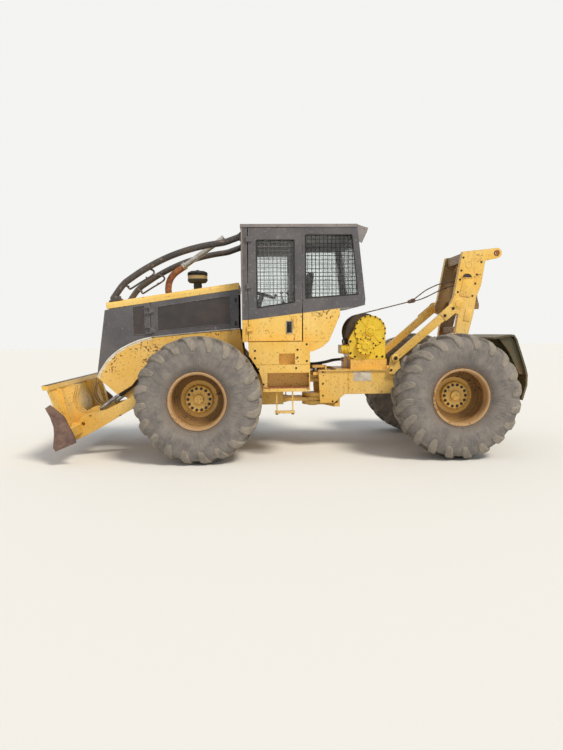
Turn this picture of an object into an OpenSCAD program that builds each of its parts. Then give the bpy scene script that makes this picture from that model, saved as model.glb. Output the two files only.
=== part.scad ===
// Cable skidder: a four-wheel log-dragging tractor bent in the middle for steering.
// Sizes in mm. X points forward, Y to the left, Z up, ground at zero.
// Lengths are measured from the hitch axis and shifted by hitch_x at the end.

/* [Overall] */
// Hitch axis ahead of or behind the middle of the length
hitch_x = -275; // [-300:1:-250]
// Hitch axis to front axle
front_axle_x = 1500; // [1480:1:1520]
// Hitch axis back to rear axle
rear_axle_x = 1700; // [1680:1:1720]
// Wheel radius out to the lugs, also the axle height
wheel_r = 780; // [770:1:790]
// Distance between left and right tyre middles
wheel_track = 1980; // [1960:1:2000]

/* [Tyres and rims] */
// Tyre half width
tyre_half = 300; // [290:1:305]
// Rim barrel radius under the beads
rim_seat_r = 332; // [328:1:334]
// Rim flange radius
rim_flange_r = 355; // [350:1:358]
// Rim half width over the flanges
rim_half = 250; // [245:1:255]
// Wheel disc distance inboard of the tyre middle
disc_in = 60; // [50:1:80]
// Wheel hub radius
hub_r = 175; // [165:1:185]
// Wheel nut circle radius
nut_ring_r = 135; // [130:1:140]
// Wheel nut count
nut_count = 14; // [12:1:16]
// Wheel nut radius
nut_r = 12; // [10:1:13]

/* [Axles] */
// Spindle radius
spindle_r = 70; // [66:1:74]
// Axle tube radius
axle_tube_r = 95; // [90:1:100]
// Axle middle housing radius
axle_bulge_r = 200; // [190:1:205]
// Drive shaft radius
shaft_r = 35; // [30:1:40]

/* [Front frame] */
// Frame plate inner half width
frame_in = 300; // [295:1:302]
// Frame plate thickness
frame_t = 40; // [36:1:42]
// Frame plate bottom height
frame_z0 = 620; // [610:1:630]
// Frame plate top height
frame_z1 = 1030; // [1020:1:1032]
// Rear bulkhead distance ahead of the hitch
bulk_x = 430; // [430:1:440]
// Front end of the frame plates
frame_x1 = 2600; // [2580:1:2620]

/* [Hitch] */
// Hitch pin radius
hitch_pin_r = 45; // [42:1:48]
// Hitch ear half width and end radius
ear_r = 150; // [140:1:155]
// Hitch ear thickness
ear_t = 50; // [46:1:52]
// Lower hitch ear bottom height
ear_z_low = 640; // [636:1:644]
// Upper hitch ear bottom height
ear_z_high = 960; // [956:1:962]
// Gap between facing ears
ear_gap = 5; // [4:0.5:6]
// Radial clearance at turning pins
pin_clear = 0.08; // [0.05:0.01:0.1]

/* [Steering cylinders] */
// Cylinder height
steer_z = 1083; // [1081:1:1085]
// Cylinder distance from the middle
steer_y = 230; // [226:1:234]
// Barrel radius
steer_barrel_r = 45; // [40:1:46]
// Rod radius
steer_rod_r = 22; // [20:1:25]
// Barrel pin distance ahead of the hitch
steer_pin_x = 850; // [840:1:860]
// Barrel gland distance ahead of the hitch
steer_gland_x = 360; // [355:1:370]
// Rod eye distance behind the hitch
steer_eye_x = 20; // [15:1:25]
// Rod length from its eye
steer_rod_l = 620; // [610:1:630]

/* [Hood and nose] */
// Hood half width
hood_half = 500; // [495:1:502]
// Hood cap thickness
hood_t = 88; // [80:1:92]
// Side panel thickness
panel_t = 20; // [16:1:22]
// Gap at panel seams
seam = 4; // [3:0.5:6]
// Nose grille bar count
grille_bars = 15; // [9:2:21]
// Nose grille bar width
grille_bar_w = 10; // [8:1:12]
// Engine door hinge distance ahead of the hitch
seam_x = 2158; // [2150:1:2165]
// Engine door rear edge
engine_door_x0 = 1012; // [1008:1:1020]

/* [Cab] */
// Cab half width
cab_half = 780; // [775:1:782]
// Cab wall thickness
cab_t = 40; // [36:1:42]
// Cab front face
cab_x1 = 960; // [955:1:965]
// Cab floor bottom height
floor_z = 1475; // [1470:1:1480]
// Cab roof top height
roof_z = 2945; // [2940:1:2960]
// Cab roof thickness
roof_t = 38; // [34:1:40]
// Window glass thickness
glass_t = 6; // [5:1:8]
// Guard mesh pitch
mesh_pitch = 52; // [48:1:60]
// Guard mesh bar thickness
mesh_bar = 7; // [6:1:8]
// Cab door rear edge
door_x0 = 193; // [190:1:196]
// Cab door front edge
door_x1 = 883; // [880:1:886]
// Cab door bottom height
door_z0 = 1484; // [1482:1:1490]
// Cab door top below the roof top
door_drop = 45; // [43:1:50]
// Window tops below the roof top
window_drop = 135; // [130:1:140]

/* [Side boxes] */
// Side box outer half width
box_half = 850; // [845:1:855]
// Step plate outer half width
step_half = 960; // [950:1:970]

/* [Blade] */
// Arm pivot ahead of the hitch
arm_x = 2050; // [2045:1:2055]
// Arm pivot height
arm_z = 850; // [846:1:854]
// Arm inner face
arm_in = 540; // [538:1:545]
// Arm thickness
arm_t = 70; // [66:1:72]
// Arm pivot pin radius
arm_pin_r = 40; // [36:1:44]
// Blade half width
blade_half = 1150; // [1140:1:1160]
// Moldboard thickness
blade_t = 28; // [24:1:32]
// Blade cylinder distance from the middle
lift_y = 400; // [398:1:404]
// Blade cylinder barrel radius
lift_barrel_r = 42; // [40:1:44]
// Blade cylinder rod radius
lift_rod_r = 24; // [22:1:26]

/* [Rear frame] */
// Rear frame plate inner half width
rear_in = 400; // [398:1:404]
// Rear frame plate thickness
rear_t = 30; // [26:1:32]
// Rear frame top height
rear_z1 = 1085; // [1080:1:1088]
// Rear end of the frame plates
rear_x1 = 2300; // [2290:1:2310]

/* [Winch] */
// Drum middle distance behind the hitch
drum_x = 700; // [695:1:705]
// Drum middle height
drum_z = 1590; // [1586:1:1594]
// Drum flange radius
drum_flange_r = 255; // [250:1:258]
// Outer radius of the rope wraps
wrap_r = 240; // [236:1:242]
// Drum half width over the flanges
drum_half = 185; // [180:1:186]
// Drum shaft radius
drum_shaft_r = 40; // [36:1:44]
// Winch rope radius
rope_r = 8; // [7:0.5:10]

/* [Arch] */
// Arch tower inner face
tower_in = 300; // [296:1:304]
// Arch tower thickness
tower_t = 80; // [76:1:82]
// Fairlead roller radius
roller_r = 45; // [42:1:47]
// Upright roller distance from the middle
roller_y = 185; // [180:1:190]
// Rope hole radius in the horn tips
horn_bore_r = 22; // [20:1:24]
// Butt plate half width
butt_half = 640; // [630:1:645]

/* [Hidden] */
$fn = 48;
eps = 1;
axle_z = wheel_r;
door_z1 = roof_z - door_drop;
window_top = roof_z - window_drop;
roof_z0 = roof_z - roof_t;
tyre_y = wheel_track / 2;

// Helpers shared by every piece
module placed() {
  translate([hitch_x, 0, 0]) children();
}

module both() {
  children();
  mirror([0, 1, 0]) children();
}

// Plate cut to an outline in the XZ plane, from y0 outward by t
module side_plate(y0, t, outline) {
  translate([0, y0 + t, 0]) rotate([90, 0, 0]) linear_extrude(t) polygon(outline);
}

// Box between two corners
module block(a, b) {
  translate(a) cube(b - a);
}

// Round bar along Y between two widths
module bar_y(x, z, r, y0, y1) {
  translate([x, y1, z]) rotate([90, 0, 0]) cylinder(r = r, h = y1 - y0);
}

// Round bar between two points
module bar(p, q, r) {
  d = q - p;
  translate(p) rotate([0, acos(d[2] / norm(d)), atan2(d[1], d[0])]) cylinder(r = r, h = norm(d));
}

// Round tube swept through [x, z] points at a constant width, mitred at each point
function unit(v) = v / norm(v);
function leg_dir(p, i) = unit(p[min(i + 1, len(p) - 1)] - p[min(i, len(p) - 2)]);
function mitre_dir(p, i) = unit(leg_dir(p, max(i - 1, 0)) + leg_dir(p, i));
function mitre_normal(p, i) = [-mitre_dir(p, i)[1], mitre_dir(p, i)[0]] / (mitre_dir(p, i) * leg_dir(p, i));
module sweep(path, y, r, sides) {
  last = len(path) - 1;
  rings = [for (i = [0 : last]) for (k = [0 : sides - 1])
    let (n = mitre_normal(path, i) * r * cos(360 * k / sides))
    [path[i][0] + n[0], y + r * sin(360 * k / sides), path[i][1] + n[1]]];
  sleeve = [for (i = [0 : last - 1]) for (k = [0 : sides - 1])
    [i * sides + k, i * sides + (k + 1) % sides, (i + 1) * sides + (k + 1) % sides, (i + 1) * sides + k]];
  polyhedron(rings, concat([[for (k = [sides - 1 : -1 : 0]) k]], sleeve, [[for (k = [0 : sides - 1]) last * sides + k]]), convexity = 8);
}

// Hood line: height of the top at a distance ahead of the hitch
hood_x0 = 1007;
hood_z0 = 2252;
hood_x1 = 2731;
hood_z1 = 2007;
function hood_top(x) = hood_z0 - (x - hood_x0) * (hood_z0 - hood_z1) / (hood_x1 - hood_x0);
function panel_top(x) = hood_top(x) - hood_t - seam;
// Lower line of the dark side panels
panel_low = [[hood_x0, 1654], [seam_x, 1555]];
function panel_low_z(x) = panel_low[0][1] - (x - hood_x0) * (panel_low[0][1] - panel_low[1][1]) / (seam_x - hood_x0);
// Wheel arch edge of the nose, from the seam forward and down
nose_arc = [[seam_x, 1555], [2330, 1512], [2472, 1451], [2580, 1393], [2670, 1323], [2740, 1252], [2791, 1180], [2838, 1105], [2873, 1037]];
// Wheel arch edge of the apron, a seam's width below the nose edge
apron_arc = [for (p = nose_arc) p - [seam * 0.7, seam]];

// Front frame
ear_up_z = ear_z_high + ear_t;
ear_plan = [[0, -ear_r], [bulk_x - 90, -ear_r], [bulk_x, -frame_in], [bulk_x, frame_in], [bulk_x - 90, ear_r], [0, ear_r]];
front_side = [[bulk_x, frame_z0], [frame_x1 - 220, frame_z0], [frame_x1, 790], [frame_x1, 900], [2330, 1080],
  [2240, 1240], [2030, 1240], [1960, frame_z1], [bulk_x, frame_z1]];
lift_pin = [2100, 1180];
lift_eye = [2911, 570];
lift_pin_r = 25;
lift_eye_pin_r = 18;
lift_eye_bore_r = 38;
lift_eye_ring_r = 50;

module front_ear(z) {
  translate([0, 0, z]) difference() {
    union() {
      linear_extrude(ear_t) polygon(ear_plan);
      cylinder(r = ear_r, h = ear_t);
    }
    translate([0, 0, -eps]) cylinder(r = hitch_pin_r + pin_clear, h = ear_t + 2 * eps);
  }
}

module axle_notch(x, y0, y1) {
  block([x - 100, y0, 0], [x + 100, y1, axle_z + axle_tube_r]);
}

module front_frame() color("#d9a637") placed() {
  difference() {
    union() {
      both() side_plate(frame_in, frame_t, front_side);
      front_ear(ear_z_low);
      front_ear(ear_z_high);
      // Rear bulkhead and its upper post for the hoses
      block([bulk_x - eps, -frame_in - eps, frame_z0], [bulk_x + 30, frame_in + eps, frame_z1]);
      block([bulk_x, -170, frame_z1 - eps], [bulk_x + 30, 170, 1260]);
      // Deck carrying the steering cylinders, belly plates and front cross member
      block([760, -frame_in - eps, frame_z1 - 30], [940, frame_in + eps, frame_z1]);
      block([bulk_x + 29, -frame_in - eps, frame_z0], [1240, frame_in + eps, frame_z0 + 20]);
      block([1760, -frame_in - eps, frame_z0], [2380, frame_in + eps, frame_z0 + 20]);
      block([2540, -frame_in - eps, 780], [2570, frame_in + eps, 930]);
      // Engine bearers
      block([1150, -frame_in - eps, frame_z1 - 40], [1210, frame_in + eps, frame_z1]);
      block([1880, -frame_in - eps, frame_z1 - 40], [1940, frame_in + eps, frame_z1]);
      // Blade arm pivots and lift cylinder pins
      both() bar_y(arm_x, arm_z, 75, frame_in + 5, arm_in - 5);
      both() bar_y(arm_x, arm_z, arm_pin_r, frame_in + 5, arm_in + arm_t + 5);
      both() bar_y(arm_x, arm_z, 62, arm_in + arm_t + 5, arm_in + arm_t + 17);
      both() bar_y(lift_pin[0], lift_pin[1], lift_pin_r, frame_in + 5, lift_y + lift_barrel_r + 16);
      both() bar_y(lift_pin[0], lift_pin[1], 38, lift_y + lift_barrel_r + 6, lift_y + lift_barrel_r + 18);
    }
    axle_notch(front_axle_x, -400, 400);
  }
}

// Axles: housing, tubes, spindles and drive shaft stub in one casting
module axle(x, frame_y, shaft_from, shaft_to) {
  spindle_end = tyre_y - disc_in + 25;
  flange_y = tyre_y - 160;
  bar_y(x, axle_z, axle_tube_r, -flange_y, flange_y);
  bar_y(x, axle_z, spindle_r, -spindle_end, spindle_end);
  both() bar_y(x, axle_z, 150, flange_y - 25, flange_y);
  translate([x, 0, axle_z]) sphere(axle_bulge_r);
  both() block([x - 97, frame_y - 10, axle_z], [x + 97, frame_y + 50, axle_z + axle_tube_r]);
  translate([min(shaft_from, shaft_to), 0, axle_z]) rotate([0, 90, 0]) cylinder(r = shaft_r, h = abs(shaft_to - shaft_from));
}

module front_axle() color("#3b3936") placed() {
  difference() {
    axle(front_axle_x, frame_in, bulk_x + 31, front_axle_x);
    block([bulk_x - 10, -60, axle_z - 60], [bulk_x + 30, 60, axle_z + 60]);
  }
}

module rear_axle() color("#3b3936") placed() {
  axle(-rear_axle_x, rear_in, -rear_axle_x, -331);
}

// Engine block and radiator, behind the panels
module engine() color("#3a3a38") placed() {
  block([1130, -260, frame_z1], [2120, 260, 1900]);
  block([2560, -420, 1150], [2640, 420, 1850]);
  block([2545, -250, 930], [2600, 250, 1151]);
}

// Nose: side cheeks, raked face with a grille
nose_face_t = 26;
nose_foot = [2873, 1037];
function nose_x(z) = hood_x1 + (hood_z1 - z) * (nose_foot[0] - hood_x1) / (hood_z1 - nose_foot[1]);
nose_top_z = 1905;
nose_join_z = 1115;
grille_half = 400;
grille_z0 = 1190;
grille_z1 = 1830;

// The face sits a little behind the cheeks' front edges
nose_setback = 3;

module face_strip(y0, w, z0, z1, t) {
  x0 = nose_x(z0) - nose_setback;
  x1 = nose_x(z1) - nose_setback;
  side_plate(y0, w, [[x0 - t, z0], [x0, z0], [x1, z1], [x1 - t, z1]]);
}

module nose_guard() color("#4a4748") placed() {
  difference() {
    union() {
      both() side_plate(hood_half - panel_t, panel_t,
        concat([[seam_x + seam, panel_low_z(seam_x)]], [for (i = [1 : 8]) nose_arc[i]],
          [[nose_x(nose_top_z), nose_top_z], [seam_x + seam, panel_top(seam_x)]]));
      face_strip(-hood_half + panel_t - eps, 2 * (hood_half - panel_t + eps), nose_join_z, nose_top_z, nose_face_t);
      face_strip(-hood_half + panel_t + eps, 2 * (hood_half - panel_t - eps), nose_foot[1], nose_join_z + 20, nose_face_t);
      // Tabs bolted up under the hood cap
      both() on_hood(2450, 0) block([-40, hood_half - panel_t - 30, -hood_t - 60], [40, hood_half - panel_t + eps, -hood_t]);
      // Hinge blocks for the engine doors
      for (z = engine_hinge_z) both() engine_hinge_fixed(z);
    }
    difference() {
      block([2600, -grille_half, grille_z0], [3000, grille_half, grille_z1]);
      for (i = [0 : grille_bars - 1])
        face_strip(-grille_half + (i + 0.5) * 2 * grille_half / grille_bars - grille_bar_w / 2, grille_bar_w, grille_z0 - 10, grille_z1 + 10, nose_face_t);
      for (z = [1350, 1510, 1670]) face_strip(-grille_half - 10, 2 * grille_half + 20, z - 12, z + 12, nose_face_t - 6);
    }
    // Notches in the face's foot, where the lift rods rise
    both() block([2780, lift_y - 45, nose_foot[1] - 10], [2900, lift_y + 45, nose_foot[1] + 16]);
  }
}

// Upright pin hinge shared by the doors: fixed leaves with the pin, turning knuckle
hinge_r = 14;
hinge_pin_r = 7;
knuckle_h = 60;
leaf_h = 12;
hinge_gap = 1;

module hinge_fixed(x, y, z, root_x, root_y) {
  for (dz = [-knuckle_h / 2 - hinge_gap - leaf_h, knuckle_h / 2 + hinge_gap]) translate([0, 0, z + dz]) {
    translate([x, y, 0]) cylinder(r = hinge_r, h = leaf_h);
    block([x, root_y, 0], [root_x, y + hinge_r, leaf_h]);
  }
  translate([x, y, z - knuckle_h / 2 - hinge_gap - leaf_h]) cylinder(r = hinge_pin_r, h = knuckle_h + 2 * (hinge_gap + leaf_h));
}

module hinge_knuckle(x, y, z, root_x, root_y) {
  translate([0, 0, z - knuckle_h / 2]) {
    translate([x, y, 0]) cylinder(r = hinge_r, h = knuckle_h);
    block([root_x, root_y, 0], [root_x + 50, y + hinge_r * 0.4, knuckle_h]);
    block([root_x + 50 - eps, y - hinge_r * 0.4, 0], [x, y + hinge_r * 0.4, knuckle_h]);
  }
}

module hinge_bore(x, y, z) {
  translate([x, y, z - knuckle_h / 2 - eps]) cylinder(r = hinge_pin_r + pin_clear, h = knuckle_h + 2 * eps);
}

// Engine side doors, hinged at the nose seam
engine_hinge_y = hood_half + 16;
engine_hinge_z = [1640, 1900];

module engine_hinge_fixed(z) {
  hinge_fixed(seam_x, engine_hinge_y, z, seam_x + 60, hood_half - eps);
}

door_field = [[1120, 1710], [1120, 2080], [2070, 1945], [2070, 1625]];

module engine_door() {
  x0 = engine_door_x0;
  x1 = seam_x - seam;
  difference() {
    union() {
      side_plate(hood_half - panel_t, panel_t, [[x0, panel_low_z(x0)], [x1, panel_low_z(x1)], [x1, panel_top(x1)], [x0, panel_top(x0)]]);
      for (z = engine_hinge_z) hinge_knuckle(seam_x, engine_hinge_y, z, x1 - 50, hood_half - eps);
    }
    side_plate(hood_half - 6, 10, door_field);
    for (z = engine_hinge_z) hinge_bore(seam_x, engine_hinge_y, z);
  }
}

module engine_door_left() color("#4a4748") placed() engine_door();
module engine_door_right() color("#4a4748") placed() mirror([0, 1, 0]) engine_door();

// Hood cap: a raked slab with eased top edges
hood_rake = atan2(hood_z0 - hood_z1, hood_x1 - hood_x0);
hood_ease = 34;
hood_section = [[-hood_half, -hood_t], [hood_half, -hood_t], [hood_half, -hood_ease], [hood_half - 0.3 * hood_ease, -0.3 * hood_ease], [hood_half - hood_ease, 0],
  [-hood_half + hood_ease, 0], [-hood_half + 0.3 * hood_ease, -0.3 * hood_ease], [-hood_half, -hood_ease]];

module hood() color("#e9b13c") placed() {
  difference() {
    translate([hood_x0, 0, hood_z0]) rotate([0, hood_rake, 0]) rotate([90, 0, 90])
      linear_extrude(norm([hood_x1 - hood_x0, hood_z0 - hood_z1])) polygon(hood_section);
    block([hood_x0 - 100, -600, 2000], [hood_x0, 600, 2400]);
  }
}

// Aprons: dented yellow side plates under the dark panels, sweeping to the nose tip
apron_low = [[2615, 804], [2430, 915], [2250, 1130], [1500, 1330], [1150, 1250], [945, 1285]];

module side_aprons() color("#e9b13c") placed() {
  both() side_plate(hood_half - panel_t, panel_t,
    concat([[1000, panel_low_z(1000) - seam], [seam_x, panel_low_z(seam_x) - seam]], [for (i = [1 : 8]) apron_arc[i]], apron_low));
  // Inner brackets down to the frame plates
  both() block([2032, frame_in + frame_t, 1206], [2044, hood_half - panel_t + eps, 1238]);
}

// Cab
floor_t = 25;
side_y = cab_half - cab_t;
// Slope of the rear face and its foot
rear_slope = 101 / 900;
rear_foot_z = 2005;
rear_foot_x = -608;
function rear_x(z) = rear_foot_x + (z - rear_foot_z) * rear_slope;
cowl_z = 1754;
function sill_z(x) = x > 193 ? 1836 - (x - 193) * 84 / 690 : 1836 + (193 - x) * 94 / 795;
fin_x = -283;
rear_wall_x = -100;
under_z = 1930;
under_x = -602;

module cab_base() color("#e9b13c") placed() {
  // Floor, firewall, recessed rear wall and rear side panels
  block([rear_wall_x, -side_y + 6, floor_z], [cab_x1, side_y - 6, floor_z + floor_t]);
  block([cab_x1 - 35, -cab_half, floor_z], [cab_x1, cab_half, cowl_z]);
  block([rear_wall_x, -side_y - 5, floor_z], [rear_wall_x + 40, side_y + 5, 1800]);
  block([rear_wall_x, -side_y, floor_z], [rear_wall_x + 40, side_y, under_z]);
  both() block([rear_wall_x, side_y - 10, floor_z], [door_x0 - seam, side_y + 5, floor_z + floor_t]);
  both() block([door_x1 + seam, side_y - 10, floor_z], [cab_x1, cab_half, cowl_z]);
  both() side_plate(side_y, cab_t, [[door_x0 - seam, floor_z], [-141, floor_z], [fin_x, 1800], [fin_x, sill_z(fin_x)], [door_x0 - seam, sill_z(door_x0 - seam)]]);
}

// Frame of the raked rear face, its outer surface in the YZ plane
rear_rake = atan(rear_slope);
module at_rear_face() {
  translate([rear_foot_x, 0, rear_foot_z]) rotate([0, rear_rake, 0]) children();
}

front_glass_half = 660;
front_glass_z = [2120, window_top + 20];
// Rear glass heights are measured up the raked face
rear_glass_half = 600;
rear_glass_z = [50, window_top - rear_foot_z];
side_window = [[150, 2024], [150, window_top], [rear_x(window_top) + 81, window_top], [-513, 2069]];

module cab_frame() color("#4a4748") placed() {
  difference() {
    union() {
      both() side_plate(side_y, cab_t, [[door_x0 - seam, sill_z(door_x0 - seam)], [door_x0 - seam, roof_z0], [rear_x(roof_z0), roof_z0], [rear_foot_x, rear_foot_z], [under_x, under_z]]);
      // Front posts and dark front wall
      block([cab_x1 - 35, -cab_half, cowl_z], [cab_x1, cab_half, roof_z0]);
      both() block([door_x1 + seam, side_y, cowl_z], [cab_x1, cab_half, roof_z0]);
      // Rear face between the raked posts
      side_plate(-cab_half, 2 * cab_half, [[under_x, under_z], [rear_foot_x, rear_foot_z], [rear_x(roof_z0), roof_z0], [rear_x(roof_z0) + 40, roof_z0], [rear_foot_x + 40, rear_foot_z], [under_x + 40, under_z]]);
      // Overhang floor behind the recessed wall
      block([under_x + 12, -side_y - 5, under_z], [rear_wall_x + 40, side_y + 5, under_z + 20]);
    }
    both() side_plate(side_y - 10, cab_t + 20, side_window);
    // Rear and front windows
    at_rear_face() block([-20, -rear_glass_half, rear_glass_z[0]], [60, rear_glass_half, rear_glass_z[1]]);
    block([cab_x1 - 60, -front_glass_half, front_glass_z[0]], [cab_x1 + 20, front_glass_half, front_glass_z[1]]);
  }
}

// Rear visor: a sloping top plate with end plates, just clear of the raked face
visor_gap = 0.5;
visor_tip = [-643, -48];
visor_low = -234;
visor_plate = [[rear_x(roof_z) - visor_gap, 0], visor_tip, visor_tip - [-12, 44], [rear_x(roof_z0) - 30, -roof_t], [rear_x(roof_z0) - visor_gap, -roof_t]];
visor_end = [[rear_x(roof_z - 10) - visor_gap, -10], visor_tip, visor_tip - [-12, 44], [-564, visor_low], [rear_x(roof_z + visor_low + 16) - visor_gap, visor_low + 16]];

module cab_roof() color("#8d8580") placed() {
  block([rear_x(roof_z) - visor_gap - eps, -cab_half - 8, roof_z0], [cab_x1 + 10, cab_half + 8, roof_z]);
  translate([0, 0, roof_z]) {
    side_plate(-cab_half + 20, 2 * cab_half - 40, visor_plate);
    both() side_plate(cab_half - 20, 16, visor_end);
  }
}

// Guard mesh on an upright plane: uprights and crossbars half lapped
module mesh_xz(y, outline, x0, x1, z0, z1) {
  intersection() {
    union() {
      for (x = [x0 : mesh_pitch : x1]) block([x, y, z0], [x + mesh_bar, y + mesh_bar, z1]);
      for (z = [z0 : mesh_pitch : z1]) block([x0 - 100, y + mesh_bar - 2, z], [x1 + 100, y + 2 * mesh_bar - 2, z + mesh_bar]);
    }
    side_plate(y - 5, 2 * mesh_bar + 10, outline);
  }
}

module mesh_yz(x, y1, z0, z1) {
  for (y = [-y1 + mesh_pitch / 2 : mesh_pitch : y1 - mesh_bar]) block([x, y, z0], [x + mesh_bar, y + mesh_bar, z1]);
  for (z = [z0 + mesh_pitch / 2 : mesh_pitch : z1 - mesh_bar]) block([x + mesh_bar - 2, -y1, z], [x + 2 * mesh_bar - 2, y1, z + mesh_bar]);
}

module cab_screens() color("#3c3a3a") placed() {
  both() mesh_xz(side_y + 8, side_window, -500, 150, 2030, window_top);
  at_rear_face() mesh_yz(8, rear_glass_half, rear_glass_z[0], rear_glass_z[1]);
}

module cab_glass() color("#b9d3dc80") placed() {
  // Front pane, rear pane, rear side panes
  block([cab_x1 - 22, -front_glass_half, front_glass_z[0]], [cab_x1 - 22 + glass_t, front_glass_half, front_glass_z[1]]);
  at_rear_face() block([28, -rear_glass_half, rear_glass_z[0]], [28 + glass_t, rear_glass_half, rear_glass_z[1]]);
  both() side_plate(side_y + 1, glass_t, side_window);
}

// Cab doors, hinged at their front edge
cab_hinge_x = door_x1 + 8;
cab_hinge_y = cab_half + 16;
cab_hinge_z = [1640, 2180, door_z1 - 140];
door_window_top = door_z1 - 152;
door_window = [[766, 1906], [766, door_window_top], [294, door_window_top], [294, 1976]];

module cab_door() {
  difference() {
    union() {
      side_plate(side_y, cab_t, [[door_x0 + 11, door_z0], [door_x1, door_z0], [door_x1 - 12, door_z1], [door_x0, door_z1]]);
      for (z = cab_hinge_z) hinge_knuckle(cab_hinge_x, cab_hinge_y, z, door_x1 - 60, cab_half - eps);
      // Handle plate
      block([270, cab_half - eps, 1650], [335, cab_half + 6, 1790]);
      block([292, cab_half, 1670], [312, cab_half + 26, 1690]);
      block([292, cab_half, 1750], [312, cab_half + 26, 1770]);
      block([292, cab_half + 18, 1670], [312, cab_half + 30, 1770]);
    }
    side_plate(side_y - 10, cab_t + 20, door_window);
    for (z = cab_hinge_z) hinge_bore(cab_hinge_x, cab_hinge_y, z);
  }
  mesh_xz(side_y + 12, [[770, 1900], [770, door_window_top + 4], [290, door_window_top + 4], [290, 1972]], 300, 770, 1936, door_window_top + 4);
}

module door_left() color("#4a4748") placed() cab_door();
module door_right() color("#4a4748") placed() mirror([0, 1, 0]) cab_door();

module door_pane() {
  side_plate(side_y + 2, glass_t, door_window);
}

module door_glass_left() color("#b9d3dc80") placed() door_pane();
module door_glass_right() color("#b9d3dc80") placed() mirror([0, 1, 0]) door_pane();

// Seat on a plinth
module seat() color("#2c2b2b") placed() {
  block([60, -190, floor_z + floor_t], [400, 190, 1750]);
  block([20, -260, 1750], [500, 260, 1860]);
  side_plate(-240, 480, [[20, 1850], [140, 1850], [60, 2420], [-30, 2420]]);
}

// Steering column, wheel and lever stand
module controls() color("#2c2b2b") placed() {
  block([800, -80, floor_z + floor_t], [920, 80, floor_z + floor_t + 14]);
  bar([875, 0, floor_z + floor_t + 13], [700, 0, 2120], 35);
  translate([697, 0, 2124]) rotate([0, -16, 0]) rotate_extrude() translate([185, 0]) circle(14);
  translate([700, 0, 2118]) rotate([0, -16, 0]) {
    block([-185, -12, -8], [185, 12, 8]);
    block([-12, -185, -8], [12, 185, 8]);
  }
  block([200, 420, floor_z + floor_t], [520, 560, 1960]);
  for (x = [260, 340, 420]) bar([x, 490, 1950], [x + 30, 490, 2110], 9);
}

// Frame lying on the raked hood at a distance ahead of the hitch
module on_hood(x, y) {
  translate([x, y, hood_top(x)]) rotate([0, hood_rake, 0]) children();
}

// Limb risers: bent tubes from the nose over the hood to the cab roof
riser_r = 42;
riser_y = 450;
handle_r = 13;
handle_y = 412;
riser_line = [[2641, 2058], [2606, 2107], [2560, 2171], [2534, 2205], [2508, 2235], [2480, 2262], [2445, 2289], [2363, 2345], [2262, 2411], [2150, 2475],
  [2030, 2537], [1905, 2593], [1775, 2642], [1640, 2684], [1500, 2719], [1370, 2744], [1260, 2760], [1205, 2769], [1150, 2784], [977, 2846]];
riser_foot_z = 2058;
riser_top_z = 2846;
riser_path = [for (p = riser_line) [p[0], p[1] + (roof_z - 99 - riser_top_z) * (p[1] - riser_foot_z) / (riser_top_z - riser_foot_z)]];
handle_path = [[2560, 2090], [2505, 2160], [2430, 2225], [2336, 2290], [2240, 2357], [2170, 2406], [2140, 2421], [2115, 2412], [2108, 2385], [2118, 2350], [2140, 2250], [2160, 2118]];

module limb_risers() color("#3a3736") placed() both() {
  sweep(riser_path, riser_y, riser_r, 20);
  sweep(handle_path, handle_y, handle_r, 10);
  on_hood(2605, 0) block([-75, handle_y - 22, 0], [95, riser_y + 44, 62]);
  on_hood(2160, 0) block([-34, handle_y - 26, 0], [34, handle_y + 26, 16]);
  block([cab_x1, riser_y - 55, roof_z - 155], [cab_x1 + 22, riser_y + 55, roof_z - 45]);
}

// Exhaust: rusty elbow out of the hood and a long silver pipe to the cab roof
exhaust_x = 1985;
elbow_r = 45;
pipe_r = 37;
pipe_start = [1774, 2514];
pipe_rise = 35.3;
elbow_path = [[1985, 2117], [1996, 2190], [1992, 2250], [1979, 2310], [1952, 2366], [1914, 2412], [1867, 2450], [1774, 2514]];

module exhaust() color("#9a5b34") placed() {
  sweep(elbow_path, 0, elbow_r, 24);
  on_hood(exhaust_x, 0) cylinder(r = 70, h = 16);
  // Silver pipe and its clamp
  translate([pipe_start[0] + 12, 0, pipe_start[1] - 8]) rotate([0, pipe_rise - 90, 0]) difference() {
    union() {
      cylinder(r = pipe_r, h = 700);
      cylinder(r = 53, h = 46);
    }
    translate([0, 0, 600]) cylinder(r = pipe_r - 5, h = 110);
  }
}

// Precleaner bowl on its neck
preclean_x = 1568;
preclean_y = 200;

module precleaner() color("#3b3a2e") placed() {
  on_hood(preclean_x, preclean_y) cylinder(r = 78, h = 18);
  translate([preclean_x, preclean_y, 0]) {
    translate([0, 0, hood_top(preclean_x) + 9]) cylinder(r = 55, h = 2335 - hood_top(preclean_x) - 9);
    translate([0, 0, 2330]) cylinder(r1 = 118, r2 = 135, h = 30);
    translate([0, 0, 2360]) cylinder(r = 135, h = 100);
    translate([0, 0, 2460]) cylinder(r1 = 128, r2 = 100, h = 30);
  }
}

// Side boxes with the foot hole, lower recess, step plate and hanging rung
box_profile = [[110, 897], [700, 897], [720, 1000], [753, 1100], [803, 1192], [880, 1300], [886, floor_z], [110, floor_z]];

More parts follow.
